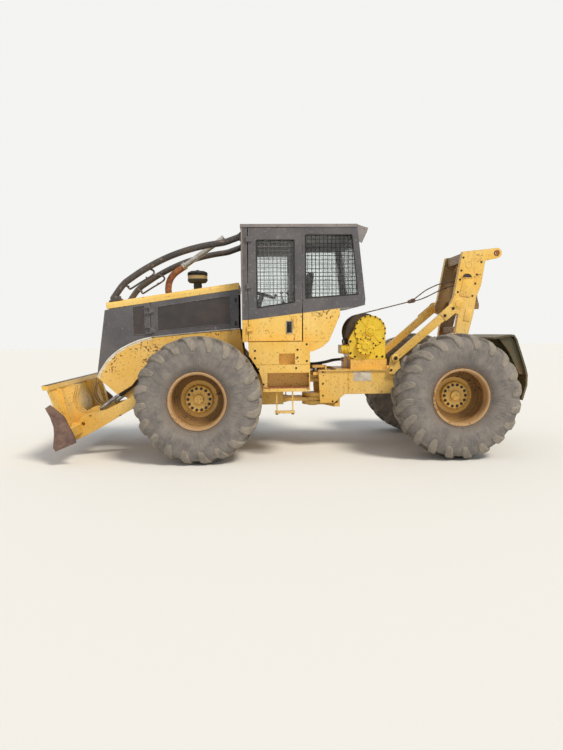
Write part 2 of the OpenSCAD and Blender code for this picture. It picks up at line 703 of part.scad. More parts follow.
module side_box() {
  difference() {
    union() {
      side_plate(frame_in + frame_t, box_half - frame_in - frame_t, box_profile);
      // Rusty step plate in a shallow frame
      block([122, box_half - 5, 855], [709, step_half, 897]);
      block([122, box_half - 160, 855], [690, box_half, 900]);
      // Hanging rung
      for (x = [330, 530]) block([x, step_half - 60, 600], [x + 16, step_half - 30, 860]);
      block([312, step_half - 80, 582], [562, step_half - 10, 610]);
      // Fairing behind the box
      side_plate(side_y, cab_t, [[111, floor_z], [-141, floor_z], [-60, 1405], [60, 1350], [111, 1345]]);
    }
    // Inner rear corner cut away for the turning rear frame
    linear_extrude(2000) polygon([[100, 300], [330, 300], [330, 345], [110, 540], [90, 540]]);
    block([301, box_half - 90, 1191], [501, box_half + 10, 1326]);
    block([125, box_half - 150, 900], [649, box_half + 10, 1082]);
    // Seam between the upper and lower door
    block([105, box_half - 3, 1186], [900, box_half + 10, 1190]);
  }
}

module side_boxes() color("#e9b13c") placed() both() side_box();

// Steering cylinder barrels on the deck, with their pins
module steering_barrels() color("#35332f") placed() both() translate([0, steer_y, 0]) {
  difference() {
    union() {
      translate([steer_gland_x, 0, steer_z]) rotate([0, 90, 0]) cylinder(r = steer_barrel_r, h = steer_pin_x - steer_gland_x);
      translate([steer_pin_x, 0, frame_z1]) cylinder(r = 50, h = steer_z + 50 - frame_z1);
      translate([steer_pin_x, 0, frame_z1]) cylinder(r = 20, h = steer_z + 70 - frame_z1);
    }
    translate([steer_gland_x - eps, 0, steer_z]) rotate([0, 90, 0]) cylinder(r = steer_rod_r + pin_clear, h = steer_pin_x - 55 - steer_gland_x);
  }
}

module steering_rod() {
  translate([-steer_eye_x, steer_y, steer_z]) {
    rotate([0, 90, 0]) cylinder(r = steer_rod_r, h = steer_rod_l);
    translate([0, 0, -25]) cylinder(r = 40, h = 50);
    translate([0, 0, -28]) cylinder(r = 20, h = 56);
  }
}

module steering_rod_left() color("#c9c9c6") placed() steering_rod();
module steering_rod_right() color("#c9c9c6") placed() mirror([0, 1, 0]) steering_rod();

// Blade: curved moldboard, rail, ribs, gussets
mold_front = [[3212, 235], [3190, 300], [3172, 420], [3180, 540], [3208, 660], [3250, 780], [3292, 900], [3306, 962]];
mold_rear = [for (i = [7 : -1 : 0]) mold_front[i] - [blade_t, 0]];
mold_back = [[3162, 300], [3144, 420], [3152, 540], [3180, 660], [3222, 780], [3264, 900]];
gusset = [[3270, 935], [3135, 935], [3150, 860], [3172, 780], [3168, 700], [3130, 620], [3060, 570], [2960, 560], [2860, 590], [2830, 520], [3000, 360], [3170, 290], [3172, 420], [3190, 560]];
gusset_hole = [[3120, 540], [3158, 600], [3140, 480], [3080, 470], [3050, 500]];
arm_profile = [[1995, 800], [2060, 765], [2432, 607], [2820, 382], [2985, 297], [3120, 236], [3183, 236], mold_back[0], mold_back[1], [3040, 560], [2870, 590], [2758, 613], [2455, 760], [2090, 935], [2010, 935]];

stiffener = [[3160, 470], [3060, 440], [3050, 330], [3172, 300]];

module blade() color("#e9b13c") placed() {
  side_plate(-blade_half + 40, 2 * blade_half - 80, concat(mold_front, mold_rear));
  // Top rail and rear stiffeners
  side_plate(-blade_half, 2 * blade_half, [[3258, 930], [3334, 930], [3350, 985], [3270, 985]]);
  side_plate(-arm_in, 2 * arm_in, stiffener);
  both() side_plate(arm_in + arm_t, blade_half - 40 - arm_in - arm_t, stiffener);
  both() side_plate(330, 26, gusset);
  both() side_plate(444, 26, gusset);
  both() side_plate(860, 24, [[3280, 930], [3200, 930], [3150, 700], [3100, 470], [3172, 420]]);
  both() bar_y(lift_eye[0], lift_eye[1], lift_eye_pin_r, 330, 470);
  // Lift eye cheeks
  both() side_plate(330, 26, [[2860, 600], [2880, 640], [2940, 640], [3080, 560], [3060, 400], [2960, 420], [2870, 510]]);
  both() side_plate(444, 26, [[2860, 600], [2880, 640], [2940, 640], [3080, 560], [3060, 400], [2960, 420], [2870, 510]]);
}

// Worn end pieces and the cutting edge
end_piece = [[3212, 191], [3240, 235], [3222, 400], [3225, 489], [3262, 610], [3316, 715], [3262, 753], [3104, 614], [2990, 375], [2972, 289]];

module blade_edge() color("#6e5148") placed() {
  both() side_plate(blade_half - 40, 40, end_piece);
  side_plate(-blade_half + 40, 2 * blade_half - 80, [[3206, 191], [3232, 191], [3240, 235], [3214, 330], [3185.5, 330], mold_front[1], mold_front[0]]);
}

module blade_arms() color("#e9b13c") placed() both() difference() {
  union() {
    side_plate(arm_in, arm_t, arm_profile);
    bar_y(arm_x, arm_z, 85, arm_in, arm_in + arm_t);
    side_plate(arm_in, 22, concat([for (p = mold_back) if (p[1] > 400) p],
      [[3269, 925], [3130, 925], [3150, 860], [3172, 780], [3168, 700], [3130, 620], [3040, 560], [3080, 420]]));
  }
  bar_y(arm_x, arm_z, arm_pin_r + pin_clear, arm_in - eps, arm_in + arm_t + eps);
  bar_y(3040, 440, 24, arm_in - eps, arm_in + arm_t + eps);
}

// Blade lift cylinders
lift_dir = [lift_eye[0] - lift_pin[0], lift_eye[1] - lift_pin[1]];
lift_len = norm(lift_dir);
lift_tilt = atan2(-lift_dir[1], lift_dir[0]);
lift_gland = 640;
lift_eye_r = 44;

module along_lift() {
  translate([lift_pin[0], lift_y, lift_pin[1]]) rotate([0, lift_tilt, 0]) rotate([0, 90, 0]) children();
}

module blade_barrels() color("#2f2e2c") placed() both() difference() {
  union() {
    along_lift() cylinder(r = lift_barrel_r, h = lift_gland);
    bar_y(lift_pin[0], lift_pin[1], lift_eye_r, lift_y - 30, lift_y + 30);
  }
  along_lift() translate([0, 0, 70]) cylinder(r = lift_rod_r + pin_clear, h = lift_gland);
  bar_y(lift_pin[0], lift_pin[1], lift_pin_r + pin_clear, lift_y - 60, lift_y + 60);
}

module blade_rods() color("#c9c9c6") placed() both() difference() {
  union() {
    along_lift() translate([0, 0, 480]) cylinder(r = lift_rod_r, h = lift_len - 480 - 30);
    bar_y(lift_eye[0], lift_eye[1], lift_eye_ring_r, lift_y - 28, lift_y + 28);
  }
  bar_y(lift_eye[0], lift_eye[1], lift_eye_bore_r, lift_y - 29, lift_y + 29);
}

// Rear frame
rear_ear_low = ear_z_low - ear_gap - ear_t;
rear_side = [[-40, rear_z1], [-60, 640], [-250, 640], [-400, 756], [-1150, 756], [-1300, 640], [-2200, 640], [-rear_x1, 760], [-rear_x1, rear_z1]];
rear_ear_plan = [[0, -ear_r], [0, ear_r], [-140, ear_r], [-260, rear_in + 1], [-330, rear_in + 1], [-330, -rear_in - 1], [-260, -rear_in - 1], [-140, -ear_r]];
rear_ear_z = [ear_z_low - ear_gap - ear_t, ear_z_low + ear_t + ear_gap, ear_z_high - ear_gap - ear_t, ear_z_high + ear_t + ear_gap];
eye_shelf_z = steer_z - 30;
upper_ear_t = eye_shelf_z - rear_ear_z[3];

module rear_ear(z, t) {
  translate([0, 0, z]) {
    linear_extrude(t) polygon(rear_ear_plan);
    cylinder(r = ear_r, h = t);
  }
}

module rear_frame() color("#e9b13c") placed() {
  difference() {
    union() {
      both() side_plate(rear_in, rear_t, rear_side);
      for (i = [0 : 2]) rear_ear(rear_ear_z[i], ear_t);
      rear_ear(rear_ear_z[3], upper_ear_t);
      // Hitch pins
      translate([0, 0, rear_ear_z[0] - 18]) cylinder(r = hitch_pin_r, h = rear_ear_z[1] + ear_t - rear_ear_z[0] + 18);
      translate([0, 0, rear_ear_z[2]]) cylinder(r = hitch_pin_r, h = upper_ear_t + rear_ear_z[3] - rear_ear_z[2] + 22);
      translate([0, 0, rear_ear_z[0] - 18]) cylinder(r = 70, h = 19);
      translate([0, 0, eye_shelf_z - eps]) cylinder(r = 70, h = 15);
      // Steering eye brackets: shelf, web and upper ear
      both() block([-140, ear_r - 10, rear_ear_z[3]], [30, rear_in + 1, eye_shelf_z]);
      both() block([-160, 180, eye_shelf_z - eps], [-135, 360, steer_z + 60]);
      both() block([-160, 180, steer_z + 30], [30, 340, steer_z + 60]);
      // Front wall, deck and rear wall
      block([-330, -rear_in - 1, 600], [-300, rear_in + 1, eye_shelf_z]);
      block([-rear_x1, -rear_in - 1, rear_z1 - 30], [-300, rear_in + 1, rear_z1]);
      block([-rear_x1, -rear_in - 1, 700], [-rear_x1 + 30, rear_in + 1, rear_z1]);
      // Top flange along the side plates
      both() block([-970, rear_in + rear_t - eps, rear_z1 - 14], [-60, rear_in + rear_t + 22, rear_z1]);
      // Winch pedestal and hose post
      block([-1000, -270, rear_z1 - 1], [-500, 270, 1216]);
      block([-455, -120, rear_z1 - 1], [-430, 120, 1235]);
    }
    axle_notch(-rear_axle_x, -500, 500);
    // Shaft hole in the front wall
    translate([-340, 0, axle_z]) rotate([0, 90, 0]) cylinder(r = shaft_r + 15, h = 60);
  }
}

// Arch towers with horns and the fairlead frame between them
tower_outline = [[-2000, 2650], [-2465, 2697], [-2465, 2563], [-2310, 2530], [-2255, 2200], [-2193, 2040], [-2155, 1810], [-2090, 1550], [-2050, rear_z1],
  [-1860, rear_z1], [-1910, 1570], [-1950, 1810], [-1850, 1860], [-1840, 1950], [-1883, 2042]];
horn = [-2465, 2630];
horn_r = 67;
strut_top = [-1895, 1945];
strut_foot = [-1060, 1237];
strut_in = 436;
strut_t = 84;
roller_x = -2235;

module arch() color("#e9b13c") placed() {
  difference() {
    union() {
      both() side_plate(tower_in, tower_t, tower_outline);
      both() bar_y(horn[0], horn[1], horn_r, tower_in, tower_in + tower_t);
      both() bar_y(strut_top[0], strut_top[1], 38, tower_in + tower_t - 1, strut_in + strut_t + 12);
      // Cross members
      block([-2150, -tower_in - 1, 2520], [-2020, tower_in + 1, 2640]);
      block([-2150, -tower_in - 1, 1960], [-2010, tower_in + 1, 2010]);
      block([-2010, -tower_in - 1, 1560], [-1950, tower_in + 1, 1650]);
      // Roller brackets
      both() block([-2149, roller_y - 50, 2530], [roller_x - 40, roller_y + 50, 2560]);
      block([roller_x - 40, -roller_y - 50, 1980], [-2149, roller_y + 50, 2010]);
      both() translate([roller_x, roller_y, 1979]) cylinder(r = 20, h = 580);
      both() block([-2190, 262, 1890], [-2140, tower_in + 1, 1995]);
      both() block([roller_x - 30, 262, 1885], [-2140, 286, 1975]);
      bar_y(roller_x, 1930, 20, -286, 286);
      // Foot plates bolted to the deck
      both() block([-2130, tower_in - 20, rear_z1], [-1800, tower_in + tower_t + 20, rear_z1 + 20]);
    }
    both() bar_y(horn[0], horn[1], horn_bore_r, tower_in - 2, tower_in + tower_t + 2);
    both() bar_y(-2080, 2470, 44, tower_in + tower_t - 12, tower_in + tower_t + 2);
  }
}

module arch_struts() color("#e9b13c") placed() both() difference() {
  union() {
    side_plate(strut_in, strut_t, [[strut_foot[0] + 28, strut_foot[1] + 33], [strut_foot[0] - 28, strut_foot[1] - 33], [strut_top[0] - 30, strut_top[1] - 46], [strut_top[0] + 30, strut_top[1] + 46]]);
    bar_y(strut_foot[0], strut_foot[1], 45, strut_in, strut_in + strut_t);
    bar_y(strut_top[0], strut_top[1], 56, strut_in, strut_in + strut_t);
    // Foot brackets on the side plates
    side_plate(rear_in + rear_t, 60, [[-980, rear_z1 - 60], [-1150, rear_z1 - 60], [-1110, strut_foot[1] + 10], [-1010, strut_foot[1] + 10]]);
  }
  bar_y(strut_top[0], strut_top[1], 38, strut_in - 1, strut_in + strut_t + 1);
}

module roller_upright(y) {
  translate([roller_x, y, 2014]) difference() {
    union() {
      cylinder(r = roller_r, h = 512);
      cylinder(r = roller_r + 5, h = 20);
      translate([0, 0, 492]) cylinder(r = roller_r + 5, h = 20);
    }
    translate([0, 0, -eps]) cylinder(r = 20 + pin_clear, h = 520);
  }
}

module fairlead_roller_left() color("#7d7c79") placed() roller_upright(roller_y);
module fairlead_roller_right() color("#7d7c79") placed() roller_upright(-roller_y);
module fairlead_roller_cross() color("#7d7c79") placed() difference() {
  bar_y(roller_x, 1930, roller_r, -257, 257);
  bar_y(roller_x, 1930, 20 + pin_clear, -260, 260);
}

// Winch housing: two side cases, gear cover discs, motor box
module winch_case() color("#f0cb2c") placed() {
  difference() {
    union() {
      both() bar_y(-770, 1600, 215, drum_half + 6, 280);
      both() bar_y(-drum_x, 1400, 125, drum_half + 6, 312);
      both() side_plate(drum_half + 6, 80, [[-980, 1216], [-560, 1216], [-480, 1260], [-480, 1500], [-560, 1640], [-980, 1640]]);
      block([-980, -drum_half - 10, 1216], [-480, drum_half + 10, 1290]);
      block([-481, -140, 1290], [-385, 140, 1410]);
      block([-520, -drum_half - 10, 1280], [-480, drum_half + 10, 1330]);
    }
    both() bar_y(-drum_x, drum_z, drum_shaft_r + pin_clear, drum_half, 262);
  }
}

module winch_drum() color("#4b463f") placed() {
  both() bar_y(-drum_x, drum_z, drum_flange_r, drum_half - 16, drum_half);
  bar_y(-drum_x, drum_z, wrap_r, -drum_half + 15, drum_half - 15);
  bar_y(-drum_x, drum_z, drum_shaft_r, -260, 260);
}

// Winch rope: from the drum's top to the slides and on to the fairlead
rope_angle = 13.4;
rope_off = wrap_r + rope_r + 0.3;
rope_start = [-drum_x + rope_off * sin(rope_angle), 0, drum_z + rope_off * cos(rope_angle)];
slide = [-1390, 0, rope_start[2] + (1390 + rope_start[0]) * tan(rope_angle)];

module winch_rope() color("#5b5752") placed() {
  bar(rope_start, slide, rope_r);
  bar(slide + [34, 0, -8], slide + [-70, 0, 20], 26);
  bar(slide + [-40, 34, 12], slide + [-40, -34, 12], 32);
  sweep([[slide[0] - 50, slide[2] + 26], [-1640, 2180], [-1832, 2259], [-2190, 2290]], 0, rope_r, 10);
  sweep([[slide[0] - 50, slide[2] + 4], [-1640, 2080], [-1819, 2165], [-2190, 2262]], 0, rope_r, 10);
  bar([-2170, 0, 2276], [-2270, 0, 2276], 24);
}

// Butt plate behind the rear tyres' inner faces
butt_outer = [[-2340, 1498], [-2560, 1537], [-2610, 1530], [-2650, 1470], [-2715, 1280], [-2775, 1100], [-2800, 1000], [-2798, 860], [-2740, 660]];
butt_t = 22;
butt_inner = [[-2716, 664], [-2774, 862], [-2776, 996], [-2752, 1092], [-2692, 1272], [-2628, 1462], [-2602, 1506], [-2560, 1513], [-2340, 1474]];

module butt_plate() color("#5a5238") placed() {
  side_plate(-butt_half, 2 * butt_half, concat(butt_outer, butt_inner));
  both() side_plate(tower_in, 30, [[-rear_x1, 720], [-rear_x1, rear_z1], [-2350, 1440], [-2560, 1520], [-2640, 1440], [-2785, 1000], [-2785, 860], [-2730, 690]]);
  both() side_plate(butt_half - 60, 22, [[-2420, 1490], [-2560, 1520], [-2640, 1440], [-2780, 1000], [-2700, 1010], [-2560, 1300]]);
}

// Hoses across the hitch
hose_y = [-95, -35, 35, 95];
hose_r = 14;
hose_path = [[-430, 1205], [-390, 1205], [-300, 1198], [-190, 1172], [-60, 1152], [60, 1152], [190, 1172], [300, 1198], [390, 1205], [bulk_x, 1205]];

module hitch_hoses() color("#232323") placed() {
  for (y = hose_y) sweep(hose_path, y, hose_r, 10);
}

// Wheels
tyre_profile = [[rim_seat_r, -228], [rim_flange_r, -236], [380, -256], [430, -284], [500, -tyre_half + 2], [570, -tyre_half], [640, -292], [700, -274], [745, -240], [770, -160], [wheel_r, -70],
  [wheel_r, 70], [770, 160], [745, 240], [700, 274], [640, 292], [570, tyre_half], [500, tyre_half - 2], [430, 284], [380, 256], [rim_flange_r, 236], [rim_seat_r, 228]];

module at_wheel(x, side) {
  translate([x, side * tyre_y, axle_z]) rotate([-90 * side, 0, 0]) children();
}

module tyre() {
  rotate_extrude() polygon(tyre_profile);
}

bore_r = spindle_r + pin_clear;
bore_end = -disc_in + 30;
rim_profile = [[rim_flange_r, rim_half], [rim_flange_r, 236], [rim_seat_r, 228], [rim_seat_r, -228], [rim_flange_r, -236], [rim_flange_r, -rim_half], [336, -rim_half], [318, -rim_half + 14],
  [318, -disc_in - 12], [150, -disc_in - 12], [150, -155], [bore_r, -155], [bore_r, bore_end], [0, bore_end],
  [0, disc_in - 30], [62, disc_in - 30], [62, 0], [hub_r - 10, 0], [hub_r, -10], [hub_r, -disc_in + 20], [250, -disc_in + 8], [318, -disc_in + 8], [318, rim_half - 14], [336, rim_half]];

module rim() {
  rotate_extrude() polygon(rim_profile);
  for (i = [0 : nut_count - 1]) rotate([0, 0, (i + 0.5) * 360 / nut_count]) translate([nut_ring_r, 0, -5]) cylinder(r = nut_r, h = 25, $fn = 6);
}

module tyre_front_left() color("#4d4a47") placed() at_wheel(front_axle_x, 1) tyre();
module tyre_front_right() color("#4d4a47") placed() at_wheel(front_axle_x, -1) tyre();
module tyre_rear_left() color("#4d4a47") placed() at_wheel(-rear_axle_x, 1) tyre();
module tyre_rear_right() color("#4d4a47") placed() at_wheel(-rear_axle_x, -1) tyre();
module rim_front_left() color("#dfa32f") placed() at_wheel(front_axle_x, 1) rim();
module rim_front_right() color("#dfa32f") placed() at_wheel(front_axle_x, -1) rim();
module rim_rear_left() color("#dfa32f") placed() at_wheel(-rear_axle_x, 1) rim();
module rim_rear_right() color("#dfa32f") placed() at_wheel(-rear_axle_x, -1) rim();

front_frame();
nose_guard();
hood();
side_aprons();
engine();
front_axle();
cab_base();
cab_frame();
cab_roof();
cab_screens();
cab_glass();
seat();
controls();
limb_risers();
exhaust();
precleaner();
side_boxes();
steering_barrels();
door_left();
door_right();
door_glass_left();
door_glass_right();
engine_door_left();
engine_door_right();
blade();
blade_edge();
blade_arms();
blade_barrels();
blade_rods();
steering_rod_left();
steering_rod_right();
rear_frame();
rear_axle();
arch();
arch_struts();
fairlead_roller_left();
fairlead_roller_right();
fairlead_roller_cross();
winch_case();
winch_drum();
winch_rope();
butt_plate();
hitch_hoses();
tyre_front_left();
tyre_front_right();
tyre_rear_left();
tyre_rear_right();
rim_front_left();
rim_front_right();
rim_rear_left();
rim_rear_right();
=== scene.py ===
"""Cable skidder: looks of the log-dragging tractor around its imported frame. Metres, +Z up, ground at zero."""
import math

import bmesh
import bpy
from mathutils import Matrix, Vector, noise


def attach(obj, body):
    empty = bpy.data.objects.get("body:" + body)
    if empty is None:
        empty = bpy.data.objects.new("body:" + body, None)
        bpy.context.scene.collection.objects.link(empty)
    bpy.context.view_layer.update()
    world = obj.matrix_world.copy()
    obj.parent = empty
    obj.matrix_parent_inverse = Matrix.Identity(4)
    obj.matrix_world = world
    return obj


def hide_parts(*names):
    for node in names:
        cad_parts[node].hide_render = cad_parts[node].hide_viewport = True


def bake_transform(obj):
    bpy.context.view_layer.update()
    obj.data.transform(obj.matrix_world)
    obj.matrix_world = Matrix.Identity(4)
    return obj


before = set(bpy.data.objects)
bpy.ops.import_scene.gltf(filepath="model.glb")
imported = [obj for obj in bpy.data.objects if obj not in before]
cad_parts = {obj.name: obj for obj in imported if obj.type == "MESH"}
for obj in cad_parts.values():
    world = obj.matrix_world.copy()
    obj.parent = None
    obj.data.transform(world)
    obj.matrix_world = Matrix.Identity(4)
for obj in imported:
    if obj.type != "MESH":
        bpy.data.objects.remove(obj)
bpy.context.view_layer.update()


# Camera and studio: a phone held at eye height about eight metres off the left side,
# over a pale seamless floor with one broad soft lamp high on the right.
scene = bpy.context.scene
upright = Vector((0, 0, 1))
eye = Vector((0.482, 7.934, 1.586))
yaw, pitch, roll = math.radians(2.3), math.radians(4.27), math.radians(-0.6)
photo_width, photo_height, sensor_size = 563, 750, 36
level_right = Vector((-math.cos(yaw), math.sin(yaw), 0))
level_forward = Vector((-math.sin(yaw), -math.cos(yaw), 0))
forward = level_forward * math.cos(pitch) - upright * math.sin(pitch)
level_up = upright * math.cos(pitch) + level_forward * math.sin(pitch)
right = level_right * math.cos(roll) + level_up * math.sin(roll)
up = level_up * math.cos(roll) - level_right * math.sin(roll)
camera_data = bpy.data.cameras.new("camera")
camera_data.sensor_width = sensor_size
camera_data.lens = sensor_size * photo_width / photo_height
scene.view_settings.view_transform = "Standard"


def link_object(name, data):
    made = bpy.data.objects.new(name, data)
    scene.collection.objects.link(made)
    return made


camera = link_object("camera", camera_data)
camera.matrix_world = Matrix.Translation(eye) @ Matrix((right, up, -forward)).transposed().to_4x4()
scene.camera = camera


def linear(code):
    """An sRGB hex colour turned to linear RGBA."""
    parts = [int(code[i : i + 2], 16) / 255 for i in (1, 3, 5)]
    return tuple(c / 12.92 if c <= 0.04045 else ((c + 0.055) / 1.055) ** 2.4 for c in parts) + (1.0,)


def add_node(tree, kind, inputs=None, **settings):
    """One shader node with its settings; each input is a value, or the output that feeds it."""
    node = tree.nodes.new(kind)
    for key, value in settings.items():
        setattr(node, key, value)
    for key, value in (inputs or {}).items():
        if isinstance(value, bpy.types.NodeSocket):
            tree.links.new(value, node.inputs[key])
        else:
            node.inputs[key].default_value = value
    return node


world = bpy.data.worlds.new("studio")
scene.world = world
world.use_nodes = True
tree = world.node_tree
tree.nodes.clear()
# Camera, glass and mirror rays see the plain backdrop, and all others the softer light of the room
rays = add_node(tree, "ShaderNodeLightPath").outputs
seen = {0: rays["Is Camera Ray"], 1: rays["Is Transmission Ray"]}
seen = add_node(tree, "ShaderNodeMath", seen, operation="MAXIMUM").outputs[0]
seen = add_node(tree, "ShaderNodeMath", {0: seen, 1: rays["Is Glossy Ray"]}, operation="MAXIMUM").outputs[0]
soft_air = add_node(tree, "ShaderNodeBackground", {"Color": linear("#e9eef6"), "Strength": 0.62})
backdrop = add_node(tree, "ShaderNodeBackground", {"Color": linear("#f4f4f2"), "Strength": 1.0})
mixed = add_node(tree, "ShaderNodeMixShader", {0: seen, 1: soft_air.outputs[0], 2: backdrop.outputs[0]})
add_node(tree, "ShaderNodeOutputWorld", {"Surface": mixed.outputs[0]})

lamp_data = bpy.data.lights.new("key_lamp", "SUN")
lamp_data.energy = 2.5
lamp_data.angle = math.radians(16)
lamp_data.color = linear("#fff6e6")[:3]
lamp = link_object("key_lamp", lamp_data)
lamp.matrix_world = Vector((-0.52, 0.62, 0.98)).to_track_quat("Z", "Y").to_matrix().to_4x4()

mesh = bpy.data.meshes.new("floor")
bm = bmesh.new()
bmesh.ops.create_grid(bm, x_segments=1, y_segments=1, size=60)
bm.to_mesh(mesh)
bm.free()
floor = link_object("floor", mesh)
material = bpy.data.materials.new("matt_studio_floor")
material.use_nodes = True
shader = material.node_tree.nodes["Principled BSDF"]
shader.inputs["Base Color"].default_value = linear("#e8e7e3")
shader.inputs["Roughness"].default_value = 0.9
floor.data.materials.append(material)


def dress(material, *names):
    """Gives CAD nodes their finish."""
    for name in names:
        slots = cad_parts[name].data.materials
        slots.clear()
        slots.append(material)


def start_material(name, roughness=0.5, metallic=0.0, specular=0.5):
    """A new material with its shader's plain numbers set, its tree, its shader and its Object coordinates."""
    made = bpy.data.materials.new(name)
    made.use_nodes = True
    tree = made.node_tree
    shader = tree.nodes["Principled BSDF"]
    shader.inputs["Roughness"].default_value = roughness
    shader.inputs["Metallic"].default_value = metallic
    shader.inputs["Specular IOR Level"].default_value = specular
    return made, tree, shader, add_node(tree, "ShaderNodeTexCoord").outputs["Object"]


def tie(tree, shader, colour, height=None, relief=0.0012, wear=None, strength=1.0):
    """Links a colour, the bumps of a height and wear's mask, gloss and dullness to their shader."""
    tree.links.new(colour, shader.inputs["Base Color"])
    if height is not None:
        bumps = {"Height": height, "Distance": relief, "Strength": strength}
        tree.links.new(add_node(tree, "ShaderNodeBump", bumps).outputs[0], shader.inputs["Normal"])
    if wear:
        shine = add_node(tree, "ShaderNodeMapRange", {0: wear[0], 3: wear[1], 4: wear[2]})
        tree.links.new(shine.outputs[0], shader.inputs["Roughness"])


# Hood cap, aprons, cab base, boxes and frames: steel plate under one yellow machine enamel.
# Years of sun bleached it in clouds, branches scratched it through, and rust runs down from the chips.
def worn_coat(tree, where, fresh, bleached, stain, bare, chip_level):
    """Colour, height and wear of an old enamel: bleached clouds, rain streaks, scratches, chips to steel."""
    clouds = {"Vector": where, "Scale": 1.7, "Detail": 4.0, "Roughness": 0.6}
    clouds = add_node(tree, "ShaderNodeTexNoise", clouds).outputs["Fac"]
    mask = add_node(tree, "ShaderNodeMapRange", {0: clouds, 1: 0.38, 2: 0.64}).outputs[0]
    coat = {0: mask, 6: linear(fresh), 7: linear(bleached)}
    coat = add_node(tree, "ShaderNodeMix", coat, data_type="RGBA").outputs[2]
    # Rain streaks about 40 mm apart run straight down
    tall = add_node(tree, "ShaderNodeMapping", {"Vector": where, "Scale": (24.0, 24.0, 1.6)}).outputs[0]
    streaks = {"Vector": tall, "Scale": 1.0, "Detail": 5.0, "Roughness": 0.62}
    streaks = add_node(tree, "ShaderNodeTexNoise", streaks).outputs["Fac"]
    patchy = {"Vector": where, "Scale": 3.3, "Detail": 6.0, "Roughness": 0.7}
    patchy = add_node(tree, "ShaderNodeTexNoise", patchy).outputs["Fac"]
    mask = add_node(tree, "ShaderNodeMath", {0: streaks, 1: patchy}, operation="MULTIPLY").outputs[0]
    mask = add_node(tree, "ShaderNodeMapRange", {0: mask, 1: 0.28, 2: 0.5, 4: 0.6}).outputs[0]
    coat = add_node(tree, "ShaderNodeMix", {0: mask, 6: coat, 7: linear(stain)}, data_type="RGBA").outputs[2]
    # Chips 5 to 30 mm wide crowd together where branches rub
    grit = {"Vector": where, "Scale": 34.0, "Detail": 5.0, "Roughness": 0.68}
    grit = add_node(tree, "ShaderNodeTexNoise", grit).outputs["Fac"]
    rubbed = {"Vector": where, "Scale": 4.6, "Detail": 3.0, "Roughness": 0.6}
    rubbed = add_node(tree, "ShaderNodeTexNoise", rubbed).outputs["Fac"]
    chips = add_node(tree, "ShaderNodeMath", {0: grit, 1: 0.72, 2: 0.0}, operation="MULTIPLY_ADD").outputs[0]
    chips = add_node(tree, "ShaderNodeMath", {0: rubbed, 1: 0.52, 2: chips},
                     operation="MULTIPLY_ADD").outputs[0]
    worn = {0: chips, 1: chip_level + 0.045, 2: chip_level + 0.075}
    worn = add_node(tree, "ShaderNodeMapRange", worn).outputs[0]
    halo = {0: chips, 1: chip_level, 2: chip_level + 0.07, 4: 0.35}
    halo = add_node(tree, "ShaderNodeMapRange", halo).outputs[0]
    coat = add_node(tree, "ShaderNodeMix", {0: halo, 6: coat, 7: linear("#a8692a")},
                    data_type="RGBA").outputs[2]
    # Scratches: thin dark lines where a warped wave peaks
    slant = add_node(tree, "ShaderNodeMapping", {"Vector": where, "Rotation": (0.0, 0.55, 0.3)}).outputs[0]
    lines = {"Vector": slant, "Scale": 2.6, "Distortion": 9.0, "Detail": 2.0, "Detail Scale": 1.4}
    lines = add_node(tree, "ShaderNodeTexWave", lines, bands_direction="Z").outputs["Fac"]
    lines = add_node(tree, "ShaderNodeMapRange", {0: lines, 1: 0.992, 2: 1.0, 4: 0.8}).outputs[0]
    lines = add_node(tree, "ShaderNodeMath", {0: lines, 1: halo}, operation="MULTIPLY").outputs[0]
    worn = add_node(tree, "ShaderNodeMath", {0: worn, 1: lines}, operation="MAXIMUM").outputs[0]
    # Edges lose their paint first
    rounded = add_node(tree, "ShaderNodeBevel", {"Radius": 0.007}, samples=4).outputs[0]
    flat = add_node(tree, "ShaderNodeNewGeometry").outputs["Normal"]
    bend = add_node(tree, "ShaderNodeVectorMath", {0: rounded, 1: flat},
                    operation="DOT_PRODUCT").outputs["Value"]
    bend = add_node(tree, "ShaderNodeMath", {0: bend, 1: grit}, operation="SUBTRACT").outputs[0]
    edges = add_node(tree, "ShaderNodeMapRange", {0: bend, 1: 0.42, 2: 0.31, 4: 0.85}).outputs[0]
    worn = add_node(tree, "ShaderNodeMath", {0: worn, 1: edges}, operation="MAXIMUM").outputs[0]
    coat = add_node(tree, "ShaderNodeMix", {0: worn, 6: coat, 7: linear(bare)}, data_type="RGBA").outputs[2]
    # Road dust gathers below a metre
    height = add_node(tree, "ShaderNodeSeparateXYZ", {0: where}).outputs["Z"]
    low = add_node(tree, "ShaderNodeMapRange", {0: height, 1: 1.15, 2: 0.35, 4: 0.62}).outputs[0]
    dust = add_node(tree, "ShaderNodeMath", {0: low, 1: patchy}, operation="MULTIPLY").outputs[0]
    coat = add_node(tree, "ShaderNodeMix", {0: dust, 6: coat, 7: linear("#a48a60")},
                    data_type="RGBA").outputs[2]
    depth = add_node(tree, "ShaderNodeMath", {0: worn, 1: -1.0, 2: clouds},
                     operation="MULTIPLY_ADD").outputs[0]
    return coat, depth, worn


def enamel(name, colours, chip_level, gloss, dull, relief=0.0012, **plain):
    """One worn enamel; its colours are the fresh coat, the bleached one, rain stains and bare steel."""
    made, tree, shader, where = start_material(name, **plain)
    colour, depth, worn = worn_coat(tree, where, *colours, chip_level)
    tie(tree, shader, colour, depth, relief, (worn, gloss, dull), strength=0.7)
    return made


# Alkyd machine enamel, sprayed: satin where sound, chalky where bleached, rust brown where gone
machine_yellow = ("#edbb50", "#f5cf78", "#c4984e", "#6b4a2c")
yellow_enamel = enamel("sun_faded_yellow_enamel", machine_yellow, 0.715, 0.42, 0.8)
dress(yellow_enamel, "hood", "cab_base", "side_boxes", "blade", "blade_arms", "rear_frame", "arch_struts",
      "front_frame")

